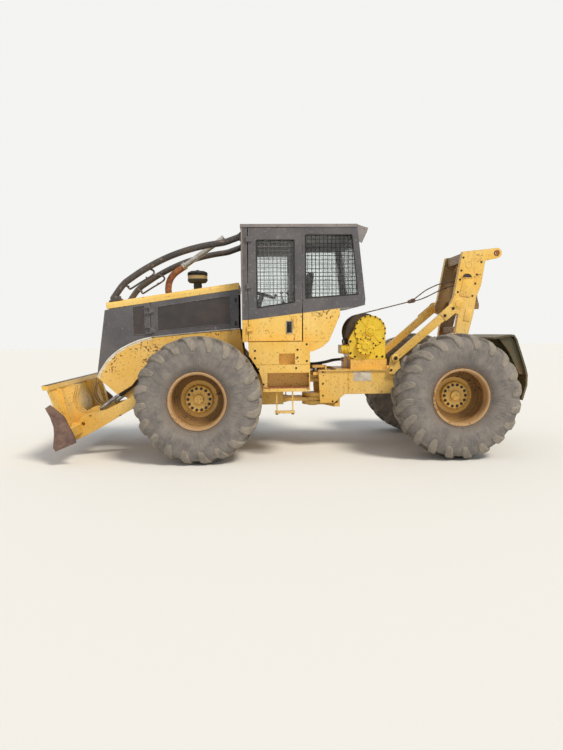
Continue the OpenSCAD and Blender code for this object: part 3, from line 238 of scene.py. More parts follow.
# The aprons under the nose were beaten by branches: the same enamel with far more of it gone
beaten_yellow = ("#e9b54c", "#f2c870", "#bd9049", "#6a3f26")
dress(enamel("branch_beaten_yellow_enamel", beaten_yellow, 0.668, 0.42, 0.8, 0.002), "side_aprons")

# Inside the arch the rope and the butts rub the towers bare, so rust shows between their inner faces; their
# dark brown is also painted shade of the faces turned into the arch
arch_rust_and_shade_enamel, tree, shader, where = start_material("rope_rubbed_arch_with_painted_shade")
sound, depth, worn = worn_coat(tree, where, *machine_yellow, 0.715)
rubbed = worn_coat(tree, where, "#5d4634", "#83634a", "#3d2f25", "#2d231c", 0.66)[0]
across = add_node(tree, "ShaderNodeSeparateXYZ", {0: where}).outputs["Y"]
across = add_node(tree, "ShaderNodeMath", {0: across}, operation="ABSOLUTE").outputs[0]
# Painted shade and rust: the faces between the towers take the dark brown coat
inner = add_node(tree, "ShaderNodeMapRange", {0: across, 1: 0.312, 2: 0.304, 4: 0.85}).outputs[0]
colour = add_node(tree, "ShaderNodeMix", {0: inner, 6: sound, 7: rubbed}, data_type="RGBA").outputs[2]
tie(tree, shader, colour, depth, wear=(worn, 0.42, 0.8), strength=0.7)
dress(arch_rust_and_shade_enamel, "arch")


# Nose cheeks, engine doors and the cab's upper frame: the same plate under a charcoal enamel.
# It chalked to a brownish grey, paler on top faces, with thin bright branch scratches.
chalked_charcoal = ("#4a494e", "#625f60", "#6f625c", "#948b84")
charcoal_enamel = enamel("chalked_charcoal_enamel", chalked_charcoal, 0.735, 0.4, 0.7)
dress(charcoal_enamel, "nose_guard", "engine_door_left", "engine_door_right", "cab_frame")


# Cab doors: one pressed plate each, charcoal round the window and yellow below a sloping line.
# The line runs down to the front; both enamels are a little fresher than on the plates around them.
two_tone, tree, shader, where = start_material("two_tone_door_enamel")
dark_coat = worn_coat(tree, where, "#4d4c51", "#625f60", "#776862", "#948b84", 0.735)[0]
pale_coat, depth, worn = worn_coat(tree, where, "#efbf55", "#f6d17c", "#c79b50", "#6b4a2c", 0.72)
(x0, z0), (x1, z1) = (-0.082, 1.836), (0.608, 1.752)
slope = (z1 - z0) / (x1 - x0)
place = add_node(tree, "ShaderNodeSeparateXYZ", {0: where}).outputs
line = {0: place["X"], 1: slope, 2: z0 - slope * x0}
line = add_node(tree, "ShaderNodeMath", line, operation="MULTIPLY_ADD").outputs[0]
above = add_node(tree, "ShaderNodeMath", {0: place["Z"], 1: line}, operation="SUBTRACT").outputs[0]
upper = add_node(tree, "ShaderNodeMapRange", {0: above, 1: -0.004, 2: 0.004}).outputs[0]
colour = add_node(tree, "ShaderNodeMix", {0: upper, 6: pale_coat, 7: dark_coat}, data_type="RGBA").outputs[2]
tie(tree, shader, colour, depth, wear=(worn, 0.42, 0.75), strength=0.7)
dress(two_tone, "door_left", "door_right")


# Cab roof: folded plate, welded along its edges and bolted to the cab's posts.
# Its enamel wore to pale grey, with brown steel at the chips.
roof_grey = ("#7b7572", "#948d89", "#665c57", "#5c4a40")
dress(enamel("worn_grey_roof_enamel", roof_grey, 0.72, 0.5, 0.8, roughness=0.55), "cab_roof")


# Guard mesh over the windows: round steel wire, welded where it crosses, in flat frames.
# It was dipped in black paint and is dusty now.
def patches(tree, where, scale, low, high, most=1.0, detail=7.0, grain=0.7):
    """A mask of soft patches, about 1 / scale metres wide."""
    cloud = {"Vector": where, "Scale": scale, "Detail": detail, "Roughness": grain}
    cloud = add_node(tree, "ShaderNodeTexNoise", cloud).outputs["Fac"]
    return add_node(tree, "ShaderNodeMapRange", {0: cloud, 1: low, 2: high, 4: most}).outputs[0]


def patched(name, clean, dirty, spots, relief=0.0, shine=None, **plain):
    """A finish of one colour under patches of another; spots holds their settings from scale on."""
    made, tree, shader, where = start_material(name, **plain)
    mask = patches(tree, where, *spots)
    colour = {0: mask, 6: linear(clean), 7: linear(dirty)}
    colour = add_node(tree, "ShaderNodeMix", colour, data_type="RGBA").outputs[2]
    wear = (mask, *shine) if shine else None
    tie(tree, shader, colour, mask if relief else None, relief, wear)
    return made


dusty_spots = (14.0, 0.4, 0.7, 0.8, 4.0, 0.5)
black_wire = patched("black_painted_wire", "#1c1b1c", "#40372f", dusty_spots, 0.0006, roughness=0.55)
dress(black_wire, "cab_screens")


# Panes: flat tempered glass, held in rubber seals.
# It has a faint green tint and a film of dust that dulls it in clouds.
glass, tree, shader, where = start_material("tempered_cab_glass", 0.03)
shader.inputs["Base Color"].default_value = linear("#f5f9f8")
shader.inputs["Transmission Weight"].default_value = 1.0
shader.inputs["IOR"].default_value = 1.45
film = add_node(tree, "ShaderNodeTexNoise", {"Vector": where, "Scale": 5.0, "Detail": 6.0, "Roughness": 0.7})
film = add_node(tree, "ShaderNodeMapRange", {0: film.outputs["Fac"], 1: 0.35, 2: 0.8, 3: 0.02, 4: 0.22})
tree.links.new(film.outputs[0], shader.inputs["Roughness"])
dress(glass, "cab_glass", "door_glass_left", "door_glass_right")


# Axles, cylinders and engine: cast iron and tube under black enamel.
# Oil weeps out of their seals and joints, and dust lies on it in patches.
greasy_spots = (6.0, 0.4, 0.66, 1.0, 7.0, 0.68)
greasy_black = ("greasy_black_enamel", "#242322", "#5b4c3a")
black_enamel = patched(*greasy_black, greasy_spots, 0.001, (0.36, 0.85), roughness=0.45)
dress(black_enamel, "front_axle", "rear_axle", "steering_barrels", "blade_barrels", "engine")


# Cylinder rods: hard chrome over ground steel, wiped bright by the seals.
# A thin film of oil and dust dulls them in patches.
oily_spots = (22.0, 0.4, 0.75, 1.0, 4.0, 0.5)
plated = {"roughness": 0.2, "metallic": 1.0}
chrome = patched("hard_chromed_rod", "#b9c0c6", "#7a7468", oily_spots, 0.0002, (0.16, 0.5), **plated)
dress(chrome, "blade_rods", "steering_rod_left", "steering_rod_right")


# Fairlead rollers and the winch rope: plain turned steel and wire.
# The rope rubs them bright, and they rust brown between the rubs.
rusty_spots = (11.0, 0.36, 0.6)
worn_bare = {"roughness": 0.45, "metallic": 0.85}
rubbed_steel = patched("rope_rubbed_steel", "#8b8884", "#6b4a35", rusty_spots, 0.0008, (0.3, 0.8),
                       **worn_bare)
rollers = ("fairlead_roller_left", "fairlead_roller_right", "fairlead_roller_cross")
dress(rubbed_steel, *rollers, "winch_rope", "winch_drum")


# Winch housing: iron castings, bolted to the rear frame.
# They were resprayed a fresher lemon yellow, and the cover is scribbled with scratches.
lemon_yellow = ("#efc829", "#f8da45", "#c59b28", "#4e3a22")
lemon_enamel = enamel("fresh_lemon_enamel", lemon_yellow, 0.735, 0.34, 0.75, roughness=0.42)
dress(lemon_enamel, "winch_case")


# Blade's end pieces and cutting edge: rolled wear steel, bolted and welded on, never painted.
# Soil scours it to a mauve brown.
soil_spots = (9.0, 0.4, 0.66, 1.0, 7.0, 0.68)
scoured = {"roughness": 0.6, "metallic": 0.5}
wear_steel = patched("soil_scoured_steel", "#6d5650", "#8d7263", soil_spots, 0.0012, **scoured)
dress(wear_steel, "blade_edge")


# Butt plate behind the rear wheels: rolled plate with welded ribs, in a dark olive that is painted shade of the
# yellow plate in the arch's shadow. The butts of the logs that it carries scrape it.
shade_olive_colours = ("#4f4a30", "#625a3c", "#3c3524", "#6b4b30")
dress(enamel("scraped_enamel_painted_shade_olive", shade_olive_colours, 0.66, 0.5, 0.8, roughness=0.6), "butt_plate")


# Tyres: bias-ply forestry tyres of moulded natural rubber, bar lugs in two opposed rows.
# The casing swells and folds in at the beads; the lugs run from the crown past the shoulder,
# and stumps and stones have chewed their edges.
axle_height, half_track = 0.78, 0.99
front_axle_x, rear_axle_x = 1.225, -1.975
wheels = {
    "front_left": (front_axle_x, 1),
    "front_right": (front_axle_x, -1),
    "rear_left": (rear_axle_x, 1),
    "rear_right": (rear_axle_x, -1),
}


def give_slot(faces, slot):
    for face in faces:
        face.material_index = slot


def spun(bm, profile, steps, slot=0):
    """Turns a list of (radius, across) points in millimetres round the Y axis."""
    corners = [bm.verts.new((0, across / 1000, radius / 1000)) for radius, across in profile]
    lines = [bm.edges.new(pair) for pair in zip(corners, corners[1:])]
    before = set(bm.faces)
    around = {"cent": (0, 0, 0), "axis": (0, 1, 0), "angle": math.tau, "steps": steps, "use_merge": True}
    bmesh.ops.spin(bm, geom=corners + lines, **around)
    give_slot(set(bm.faces) - before, slot)


def finish_mesh(bm, name, *materials, smooth=35):
    """Merges doubles, turns faces outward, shades smooth up to an angle in degrees and links the object."""
    bmesh.ops.remove_doubles(bm, verts=bm.verts, dist=1e-5)
    bmesh.ops.recalc_face_normals(bm, faces=bm.faces)
    for face in bm.faces:
        face.smooth = True
    limit = math.radians(smooth)
    for edge in bm.edges:
        edge.smooth = edge.is_manifold and edge.calc_face_angle(0) < limit
    mesh = bpy.data.meshes.new(name)
    bm.to_mesh(mesh)
    bm.free()
    for material in materials:
        mesh.materials.append(material)
    return link_object(name, mesh)


def wheel_map(bm, x, z):
    """A UV map round a wheel: arc length where the wall is widest, and the radius."""
    wall_radius = 0.6
    layer = bm.loops.layers.uv.new("round_wheel")
    for face in bm.faces:
        middle = face.calc_center_median()
        base = math.atan2(middle.x - x, middle.z - z)
        for loop in face.loops:
            spot = loop.vert.co - Vector((x, 0, z))
            turn = math.atan2(spot.x, spot.z) - base
            turn = base + math.atan2(math.sin(turn), math.cos(turn))
            loop[layer].uv = (wall_radius * turn, math.hypot(spot.x, spot.z))


# Radius and half width in millimetres, from the bead to the crown
casing = [(332, 228), (354, 235.5), (361, 240), (368, 248), (374, 250), (378, 247), (383, 253), (400, 264),
          (430, 277), (474, 287), (520, 291.5), (570, 292.5), (612, 288), (650, 277), (682, 264), (704, 248),
          (722, 228), (732, 196), (738, 150), (741, 0)]
# Lug stations in metres: across and radius of the face, the same of the root, half width of face and root,
# and how far behind the crown end
lug_line = [(-0.010, 0.780, -0.010, 0.728, 0.038, 0.052, 0.0),
            (0.070, 0.7795, 0.070, 0.728, 0.040, 0.054, 0.032),
            (0.140, 0.7765, 0.140, 0.726, 0.043, 0.057, 0.068),
            (0.200, 0.764, 0.196, 0.718, 0.048, 0.061, 0.099),
            (0.238, 0.744, 0.226, 0.704, 0.053, 0.065, 0.121),
            (0.262, 0.718, 0.246, 0.682, 0.055, 0.065, 0.138),
            (0.280, 0.684, 0.262, 0.652, 0.053, 0.062, 0.151),
            (0.293, 0.646, 0.272, 0.628, 0.047, 0.056, 0.161),
            (0.2985, 0.606, 0.280, 0.600, 0.032, 0.044, 0.166)]
lugs_per_row = 20


def lug_place(station, sideways, depth):
    """A point on a lug: sideways -1 to 1 across it, depth 0 on its face to 1 at its root."""
    low = min(int(station), len(lug_line) - 2)
    s = [a + (b - a) * (station - low) for a, b in zip(lug_line[low], lug_line[low + 1])]
    across, radius = s[0] + (s[2] - s[0]) * depth, s[1] + (s[3] - s[1]) * depth
    ahead = (sideways * (s[4] + (s[5] - s[4]) * depth) - s[6]) / axle_height
    return Vector((radius * math.sin(ahead), across, radius * math.cos(ahead)))


def ease_edges(bm, edges, width):
    """Bevels edges round by a width in metres; returns the vertices made."""
    how = {"segments": 2, "profile": 0.5, "affect": "EDGES", "material": -1}
    return bmesh.ops.bevel(bm, geom=edges, offset=width, **how)["verts"]


# One lug: a grid raised to a block, bent along the stations, its face's edges eased
last_station = len(lug_line) - 1
bm = bmesh.new()
bmesh.ops.create_grid(bm, x_segments=3 * last_station, y_segments=4, size=1)
raised = bmesh.ops.extrude_face_region(bm, geom=bm.faces[:])["geom"]
raised = {v for v in raised if isinstance(v, bmesh.types.BMVert)}
for v in bm.verts:
    v.co = lug_place((v.co.x + 1) / 2 * last_station, v.co.y, 0 if v in raised else 1)
bmesh.ops.holes_fill(bm, edges=bm.edges)
bmesh.ops.recalc_face_normals(bm, faces=bm.faces)
ease_edges(bm, [e for e in bm.edges if raised.issuperset(e.verts) and e.calc_face_angle(0) > 0.7], 0.011)
one_lug = bpy.data.meshes.new("lug")
bm.to_mesh(one_lug)
bm.free()


def chewed(bm, amount, seed):
    """Pushes vertices in and out by a smooth, seeded amount, as torn rubber, within a wheel's full radius."""
    for v in bm.verts:
        coarse = noise.noise_vector(v.co * 14 + Vector((seed, 0, 0)))
        fine = noise.noise_vector(v.co * 45 + Vector((0, seed, 0)))
        v.co += (coarse * 0.6 + fine * 0.4) * amount
        reach = max(math.hypot(v.co.x, v.co.z) / axle_height, 1)
        v.co.x, v.co.z = v.co.x / reach, v.co.z / reach


def rubber_finish(name, low, high, dust, gain):
    """Weathered rubber: grey with radial mud streaks, paler dust clouds and small nicks."""
    made, tree, shader, where = start_material(name, 0.86, specular=0.25)
    wrap = add_node(tree, "ShaderNodeUVMap", uv_map="round_wheel").outputs["UV"]
    clouds = patches(tree, where, 6.5, 0.36, 0.64, 1.0, 6.0, 0.66)
    coat = {0: clouds, 6: linear(low), 7: linear(high)}
    coat = add_node(tree, "ShaderNodeMix", coat, data_type="RGBA").outputs[2]
    # Mud wiped outward in streaks about 12 mm apart
    fanned = add_node(tree, "ShaderNodeMapping", {"Vector": wrap, "Scale": (80.0, 7.0, 1.0)}).outputs[0]
    streaks = {"Vector": fanned, "Scale": 1.0, "Detail": 4.0, "Roughness": 0.6}
    streaks = add_node(tree, "ShaderNodeTexNoise", streaks).outputs["Fac"]
    mud = add_node(tree, "ShaderNodeMapRange", {0: streaks, 1: 0.45, 2: 0.68, 4: gain}).outputs[0]
    coat = add_node(tree, "ShaderNodeMix", {0: mud, 6: coat, 7: linear(dust)}, data_type="RGBA").outputs[2]
    # Brown soil packed against the rim
    radius = add_node(tree, "ShaderNodeSeparateXYZ", {0: wrap}).outputs["Y"]
    soil = add_node(tree, "ShaderNodeMapRange", {0: radius, 1: 0.46, 2: 0.36, 4: 0.8}).outputs[0]
    soil = add_node(tree, "ShaderNodeMath", {0: soil, 1: clouds}, operation="MULTIPLY").outputs[0]
    coat = {0: soil, 6: coat, 7: linear("#6d5a48")}
    coat = add_node(tree, "ShaderNodeMix", coat, data_type="RGBA").outputs[2]
    grain = {"Vector": where, "Scale": 60.0, "Detail": 6.0, "Roughness": 0.7}
    grain = {0: streaks, 1: 0.5, 2: add_node(tree, "ShaderNodeTexNoise", grain).outputs["Fac"]}
    grain = add_node(tree, "ShaderNodeMath", grain, operation="MULTIPLY_ADD").outputs[0]
    tie(tree, shader, coat, grain, 0.0035, strength=0.8)
    return made


def wheel_place(x, side):
    """Where a wheel modelled round the Y axis stands; the right ones are mirrored."""
    mirror = Matrix.Diagonal((1, side, 1, 1))
    return Matrix.Translation((x, side * half_track, axle_height)) @ mirror


side_rubber = rubber_finish("weathered_sidewall_rubber", "#6a6664", "#8a837d", "#a09686", 0.4)
lug_rubber = rubber_finish("scuffed_lug_rubber", "#746e66", "#958c81", "#aa9f90", 0.5)
for place, (x, side) in wheels.items():
    bm = bmesh.new()
    outer_wall = [(radius, -wide) for radius, wide in casing]
    spun(bm, outer_wall + casing[-2::-1] + outer_wall[:1], 120)
    for row, row_side in enumerate((1, -1)):
        for i in range(lugs_per_row):
            old = set(bm.verts)
            bm.from_mesh(one_lug)
            fresh = [v for v in bm.verts if v not in old]
            turn = math.pi - lug_line[0][4] / axle_height + (i + row / 2) * math.tau / lugs_per_row
            turn = Matrix.Rotation(turn, 4, "Y") @ Matrix.Diagonal((1, row_side, 1, 1))
            bmesh.ops.transform(bm, matrix=turn, verts=fresh)
            give_slot({f for v in fresh for f in v.link_faces}, 1)
    chewed(bm, 0.0022, 3.0 + x + side)
    bmesh.ops.transform(bm, matrix=wheel_place(x, side), verts=bm.verts)
    wheel_map(bm, x, axle_height)
    tyre = finish_mesh(bm, "lugged_tyre_" + place, side_rubber, lug_rubber)
    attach(tyre, "wheel_" + place)
    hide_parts("tyre_" + place)


# Rims: five-piece steel rims welded round a deep disc, bolted over the planetary hub by fourteen nuts.
# The lip is rubbed to rust, the disc keeps its yellow, the deep barrel is darkened as painted shade, and the
# nuts are black with grease.
def disc(bm, radius, low, high, segments, spot, slot=0, edge=0.0):
    """A round bar along Y from one height across to another, its outer edge eased."""
    size = {"radius1": radius, "radius2": radius, "depth": abs(high - low)}
    made = bmesh.ops.create_cone(bm, cap_ends=True, segments=segments, **size)["verts"]
    give_slot({f for v in made for f in v.link_faces}, slot)
    if edge:
        outer = [e for e in {e for v in made for e in v.link_edges} if all(v.co.z > 0 for v in e.verts)]
        eased = ease_edges(bm, outer, edge)
        made = list(set(eased) | {v for v in made if v.is_valid})
    lay = Matrix.Rotation(math.radians(-90 if high > low else 90), 4, "X")
    place = Matrix.Translation((spot[0], (low + high) / 2, spot[1])) @ lay
    bmesh.ops.transform(bm, matrix=place, verts=made)


lip_colours = ("#b18a5e", "#c19c72", "#8b6344", "#80573a")
rusty_lip = enamel("rust_rubbed_rim_enamel", lip_colours, 0.67, 0.55, 0.85, roughness=0.7, specular=0.4)
disc_colours = ("#e3ad46", "#efc468", "#a77a3a", "#4a3220")
rim_yellow = enamel("dusty_yellow_rim_enamel", disc_colours, 0.70, 0.42, 0.8)
# Painted shade: the deep barrel is coloured a dark muddy brown, as if it lay in the rim's shadow
barrel_shade_colours = ("#7c5a31", "#9a7440", "#4d3824", "#33261b")
shaded_barrel = enamel("rim_barrel_painted_shade", barrel_shade_colours, 0.66, 0.7, 0.95, roughness=0.85, specular=0.3)
nut_spots = (30.0, 0.4, 0.66, 1.0, 7.0, 0.68)
nut_black = patched("greased_black_nuts", "#1f1c1a", "#4a3a2a", nut_spots, roughness=0.4)
# Radius and distance across in millimetres, from the inner edge round the outside
lip = [(318, -72), (318, -222), (322, -238), (330, -247), (340, -250), (350.5, -250), (355, -246),
       (355, -239), (350, -236.5), (334, -233), (332.5, -226), (332.5, 226), (334, 233), (350, 236.5),
       (355, 239), (355, 246), (350.5, 250), (340, 250), (330, 247), (322, 238), (318, 222), (317, 120)]
dish = [(317, 120), (316.5, 15), (308, 4), (306, -26), (299, -44), (285, -52), (230, -51), (184, -46),
        (176, -40), (174.5, -15), (170, -7), (161, -1), (110, 0), (70, 0), (62.5, 4), (61.5, 22), (56, 29),
        (40, 30), (0, 30)]
back = [(318, -72), (150, -72), (150, -155), (73.5, -155), (73.5, -31), (0, -31)]
nut_ring, nuts = 0.135, 14


def round_hub(turn, radius):
    return radius * math.sin(turn), radius * math.cos(turn)


for place, (x, side) in wheels.items():
    bm = bmesh.new()
    spun(bm, lip, 96, 0)
    # The deep barrel takes the painted shade
    spun(bm, dish[:7], 96, 3)
    spun(bm, dish[6:], 96, 1)
    spun(bm, back, 96, 1)
    for i in range(nuts):
        spot = round_hub((i + 0.5) * math.tau / nuts, nut_ring)
        disc(bm, 0.0185, 0.0, 0.003, 20, spot, 2)
        disc(bm, 0.0135, 0.003, 0.017, 6, spot, 2, 0.0015)
        disc(bm, 0.0065, 0.017, 0.0235, 10, spot, 2, 0.001)
    # Hub plugs and the tyre valve
    for turn, radius, high in ((0.9, 0.095, 0.009), (4.0, 0.095, 0.009), (2.4, 0.04, 0.034)):
        disc(bm, 0.011, 0.0, high, 6, round_hub(turn, radius), 1, 0.0015)
    disc(bm, 0.006, -0.052, 0.030, 10, round_hub(-0.8, 0.262), 2, 0.001)
    bmesh.ops.transform(bm, matrix=wheel_place(x, side), verts=bm.verts)
    rim = finish_mesh(bm, "bolted_rim_" + place, rusty_lip, rim_yellow, nut_black, shaded_barrel, smooth=30)
    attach(rim, "wheel_" + place)
    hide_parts("rim_" + place)


# Limb risers: two bent steel tubes from the nose over the hood to the cab roof, a slim hand rail beside each.
# Tube and rail are welded; a saddle bolts them to the hood and a plate to the cab's front wall.
hitch_x = -0.275


def from_hitch(x, y, z):
    """A point in millimetres from the hitch axis, as the part's source gives it, in the row frame."""
    return Vector((x / 1000 + hitch_x, y / 1000, z / 1000))


def smoothed(points, steps=3):
    """Points along a smooth curve through the given ones."""
    path = [Vector(p) for p in points]
    ends = [2 * path[0] - path[1]] + path + [2 * path[-1] - path[-2]]
    curve = []
    for a, b, c, d in zip(ends, ends[1:], ends[2:], ends[3:]):
        bend, twist = 2 * a - 5 * b + 4 * c - d, 3 * b - a - 3 * c + d
        for t in (k / steps for k in range(steps)):
            curve.append(0.5 * (2 * b + (c - a) * t + bend * t**2 + twist * t**3))
    return curve + [path[-1]]


def tube(bm, points, radius, segments=16, slot=0):
    """A closed round tube through points; radius is one number, or one for each point."""
    radii = radius if isinstance(radius, list) else [radius] * len(points)
    frames, side = [], None
    for i, point in enumerate(points):
        along = (points[min(i + 1, len(points) - 1)] - points[max(i - 1, 0)]).normalized()
        side = (side - along * side.dot(along)).normalized() if side else along.orthogonal().normalized()
        turn = Matrix((side, along.cross(side), along)).transposed().to_4x4()
        frames.append(Matrix.Translation(point) @ turn @ Matrix.Diagonal((radii[i], radii[i], 1, 1)))
    before = set(bm.faces)
    ring = bmesh.ops.create_circle(bm, cap_ends=True, segments=segments, radius=1, matrix=frames[0])["verts"]
    edges = list({e for v in ring for e in v.link_edges})
    for old, new in zip(frames, frames[1:]):
        grown = bmesh.ops.extrude_edge_only(bm, edges=edges)["geom"]
        ring = {g for g in grown if isinstance(g, bmesh.types.BMVert)}
        edges = [g for g in grown if isinstance(g, bmesh.types.BMEdge) and ring.issuperset(g.verts)]
        bmesh.ops.transform(bm, matrix=new @ old.inverted(), verts=list(ring))
    bmesh.ops.edgeloop_fill(bm, edges=edges)
    give_slot(set(bm.faces) - before, slot)


def turned(bm, profile, steps, base, along, slot=0):
    """A lathe piece: profile of (radius, distance from base along the axis) points, in millimetres."""
    old = set(bm.verts)
    spun(bm, profile, steps, slot)
    turn = Vector(along).to_track_quat("Y", "Z").to_matrix().to_4x4()
    fresh = [v for v in bm.verts if v not in old]
    bmesh.ops.transform(bm, matrix=Matrix.Translation(base) @ turn, verts=fresh)


def plate(bm, low, high, slot=0, ease=0.003, turn=None):
    """A box between two corners with eased edges, moved by a matrix."""
    low, high = Vector(low), Vector(high)
    place = (turn or Matrix()) @ Matrix.Translation((low + high) / 2) @ Matrix.Diagonal((*(high - low), 1))
    made = bmesh.ops.create_cube(bm, size=1, matrix=place)["verts"]
    before = set(bm.faces) - {f for v in made for f in v.link_faces}
    ease_edges(bm, list({e for v in made for e in v.link_edges}), ease)
    give_slot(set(bm.faces) - before, slot)


def bolt(bm, spot, out, size=0.011, slot=0):
    """A washer and a chamfered hexagon head on a surface; size is the head's radius."""
    turn = Vector(out).to_track_quat("Z", "Y").to_matrix().to_4x4()
    before = set(bm.faces)
    washer, shank, chamfer = (1.5, 1.45, -0.15, 0.2, 18), (1.0, 1.0, 0.2, 0.75, 6), (1.0, 0.8, 0.75, 0.92, 6)
    for wide, narrow, low, high, sides in (washer, shank, chamfer):
        cone = {"radius1": wide * size, "radius2": narrow * size, "depth": (high - low) * size}
        place = Matrix.Translation(spot) @ turn @ Matrix.Translation((0, 0, (low + high) / 2 * size))
        bmesh.ops.create_cone(bm, cap_ends=True, segments=sides, matrix=place, **cone)
    give_slot(set(bm.faces) - before, slot)


# The hood falls from the cab to the nose
hood_start, hood_top, hood_length, hood_fall = 1007, 2252, 1724, 245


def on_hood(x, y=0.0):
    """The frame that lies on the raked hood at a distance in millimetres ahead of the hitch."""
    spot = from_hitch(x, y, hood_top - (x - hood_start) * hood_fall / hood_length)
    return Matrix.Translation(spot) @ Matrix.Rotation(math.atan2(hood_fall, hood_length), 4, "Y")


tube_colours = ("#3a3634", "#524a44", "#5d4d45", "#8f8074")
tube_enamel = enamel("rubbed_tube_enamel", tube_colours, 0.70, 0.4, 0.7)
riser_y, rail_y = 450, 412
riser_line = [(2641, 2058), (2606, 2107), (2560, 2171), (2534, 2205), (2508, 2235), (2480, 2262),
              (2445, 2289), (2363, 2345), (2262, 2411), (2150, 2475), (2030, 2537), (1905, 2593),
              (1775, 2642), (1640, 2684), (1500, 2719), (1370, 2744), (1260, 2760), (1205, 2769),
              (1150, 2784), (977, 2846)]
rail_line = [(2500, 2241), (2462, 2214), (2440, 2190), (2418, 2186), (2299, 2259), (2167, 2337),
             (2124, 2370), (2112, 2398), (2132, 2426), (2195, 2450)]
bm = bmesh.new()
for side in (1, -1):
    tube(bm, smoothed([from_hitch(x, side * riser_y, z) for x, z in riser_line], 2), 0.042, 28)
    tube(bm, smoothed([from_hitch(x, side * rail_y, z) for x, z in rail_line], 4), 0.013, 12)
    saddle = on_hood(2605)
    low, high = sorted((side * 0.400, side * 0.494))
    plate(bm, (-0.085, low, 0.0), (0.085, high, 0.012), turn=saddle)
    plate(bm, (-0.066, low + 0.006, 0.010), (0.066, high - 0.006, 0.060), ease=0.012, turn=saddle)
    for x in (-0.074, 0.074):
        for y in (low + 0.014, high - 0.014):
            bolt(bm, saddle @ Vector((x, y, 0.012)), saddle.to_3x3() @ upright, 0.008, 1)
    # Bolted plate and weld bead where the tube meets the cab
    low, high = sorted((side * 395, side * 505))
    plate(bm, from_hitch(960, low, 2790), from_hitch(982, high, 2900))
    bead = [(43, -6), (49, -4), (50, 3), (46, 10), (43, 12)]
    turned(bm, bead, 28, from_hitch(988, side * riser_y, 2842), (0.94, 0, -0.34))
    for y in (low + 16, high - 16):
        for z in (2806, 2884):
            bolt(bm, from_hitch(982, y, z), (1, 0, 0), 0.009, 1)
    # Clips that tie the rail to the tube
    for x, z in ((2445, 2218), (2210, 2330)):
        low, high = sorted((side * 405, side * 455))
        plate(bm, from_hitch(x - 10, low, z - 6), from_hitch(x + 10, high, z + 6), ease=0.002)
risers = finish_mesh(bm, "bent_limb_risers", tube_enamel, nut_black, smooth=40)
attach(risers, "front")
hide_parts("limb_risers")


# Exhaust: a rolled mild-steel elbow gone copper brown, a strap clamp and a long aluminised tail pipe.
# The elbow rises from a flange bolted to the hood; the pipe is a thin open tube with a rolled lip.
copper_rust, tree, shader, where = start_material("heat_rusted_elbow", 0.85, specular=0.3)
flakes = patches(tree, where, 16.0, 0.36, 0.62, 1.0, 8.0)
coat = {0: flakes, 6: linear("#6b3f2a"), 7: linear("#b07450")}
coat = add_node(tree, "ShaderNodeMix", coat, data_type="RGBA").outputs[2]
pits = add_node(tree, "ShaderNodeTexNoise", {"Vector": where, "Scale": 90.0, "Detail": 4.0}).outputs["Fac"]
mask = add_node(tree, "ShaderNodeMapRange", {0: pits, 1: 0.58, 2: 0.7, 4: 0.8}).outputs[0]
coat = add_node(tree, "ShaderNodeMix", {0: mask, 6: coat, 7: linear("#3f261b")}, data_type="RGBA").outputs[2]
tie(tree, shader, coat, pits)
hazy_spots = (9.0, 0.42, 0.68)
pipe_metal = {"roughness": 0.4, "metallic": 0.9}
pipe_coat = ("aluminised_tail_pipe", "#c3c2bd", "#8e7f6e")
aluminised = patched(*pipe_coat, hazy_spots, 0.0005, (0.3, 0.7), **pipe_metal)
elbow_line = [(1986, 2120), (1996, 2190), (1992, 2250), (1979, 2310), (1952, 2366), (1914, 2412),
              (1867, 2450), (1774, 2514)]
bm = bmesh.new()
elbow = smoothed([from_hitch(x, 0, z) for x, z in elbow_line], 4)
tube(bm, elbow, 0.045, 32)
foot = on_hood(1986)
up_hood = foot.to_3x3() @ upright
flange = [(0, 0.5), (70, 0.5), (70, 13), (67, 16), (52, 16), (48, 22), (46, 34)]
turned(bm, flange, 40, foot.translation, up_hood)
for i in range(4):
    angle = math.radians(45 + 90 * i)
    bolt(bm, foot @ Vector((0.058 * math.cos(angle), 0.058 * math.sin(angle), 0.016)), up_hood, 0.007, 2)
pipe_rise = math.radians(35.3)
rise = Vector((-math.cos(pipe_rise), 0, math.sin(pipe_rise)))
pipe_foot = from_hitch(1786, 0, 2506)
turned(bm, [(0, 20), (37.5, 20), (37.5, 690), (40, 692), (40.5, 696), (39.5, 700), (34.5, 700), (33.5, 690),
            (33.5, 560), (0, 560)], 36, pipe_foot, rise, 1)
turned(bm, [(46, -2), (52.5, -1), (53.5, 2), (53.5, 8), (51, 11), (51, 35), (53.5, 38), (53.5, 44),
            (52.5, 47), (37, 48)], 36, pipe_foot, rise, 1)
clamp = Matrix.Translation(pipe_foot) @ rise.to_track_quat("Z", "Y").to_matrix().to_4x4()
plate(bm, (-0.012, 0.050, 0.012), (0.012, 0.074, 0.034), 1, 0.002, clamp)
for way in (1, -1):
    bolt(bm, clamp @ Vector((way * 0.012, 0.064, 0.023)), clamp.to_3x3() @ Vector((way, 0, 0)), 0.007, 2)
exhaust = finish_mesh(bm, "rusted_exhaust", copper_rust, aluminised, nut_black, smooth=40)
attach(exhaust, "front")
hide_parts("exhaust")


# Precleaner: a moulded black bowl on a rubber neck, its clear band yellowed to straw.
# Swirl vanes stand under the lid, and a wing nut holds it down.
def moulded(name, colour, dusted, rough=0.5):
    """A moulded plastic or rubber finish with dust in soft patches."""
    made, tree, shader, where = start_material(name, rough)
    dust = patches(tree, where, 13.0, 0.42, 0.7, 0.8, 7.0, 0.68)
    coat = {0: dust, 6: linear(colour), 7: linear(dusted)}
    coat = add_node(tree, "ShaderNodeMix", coat, data_type="RGBA").outputs[2]
    grain = add_node(tree, "ShaderNodeTexNoise", {"Vector": where, "Scale": 240.0, "Detail": 2.0})
    tie(tree, shader, coat, grain.outputs["Fac"], 0.0003, (dust, rough, 0.9))
    return made


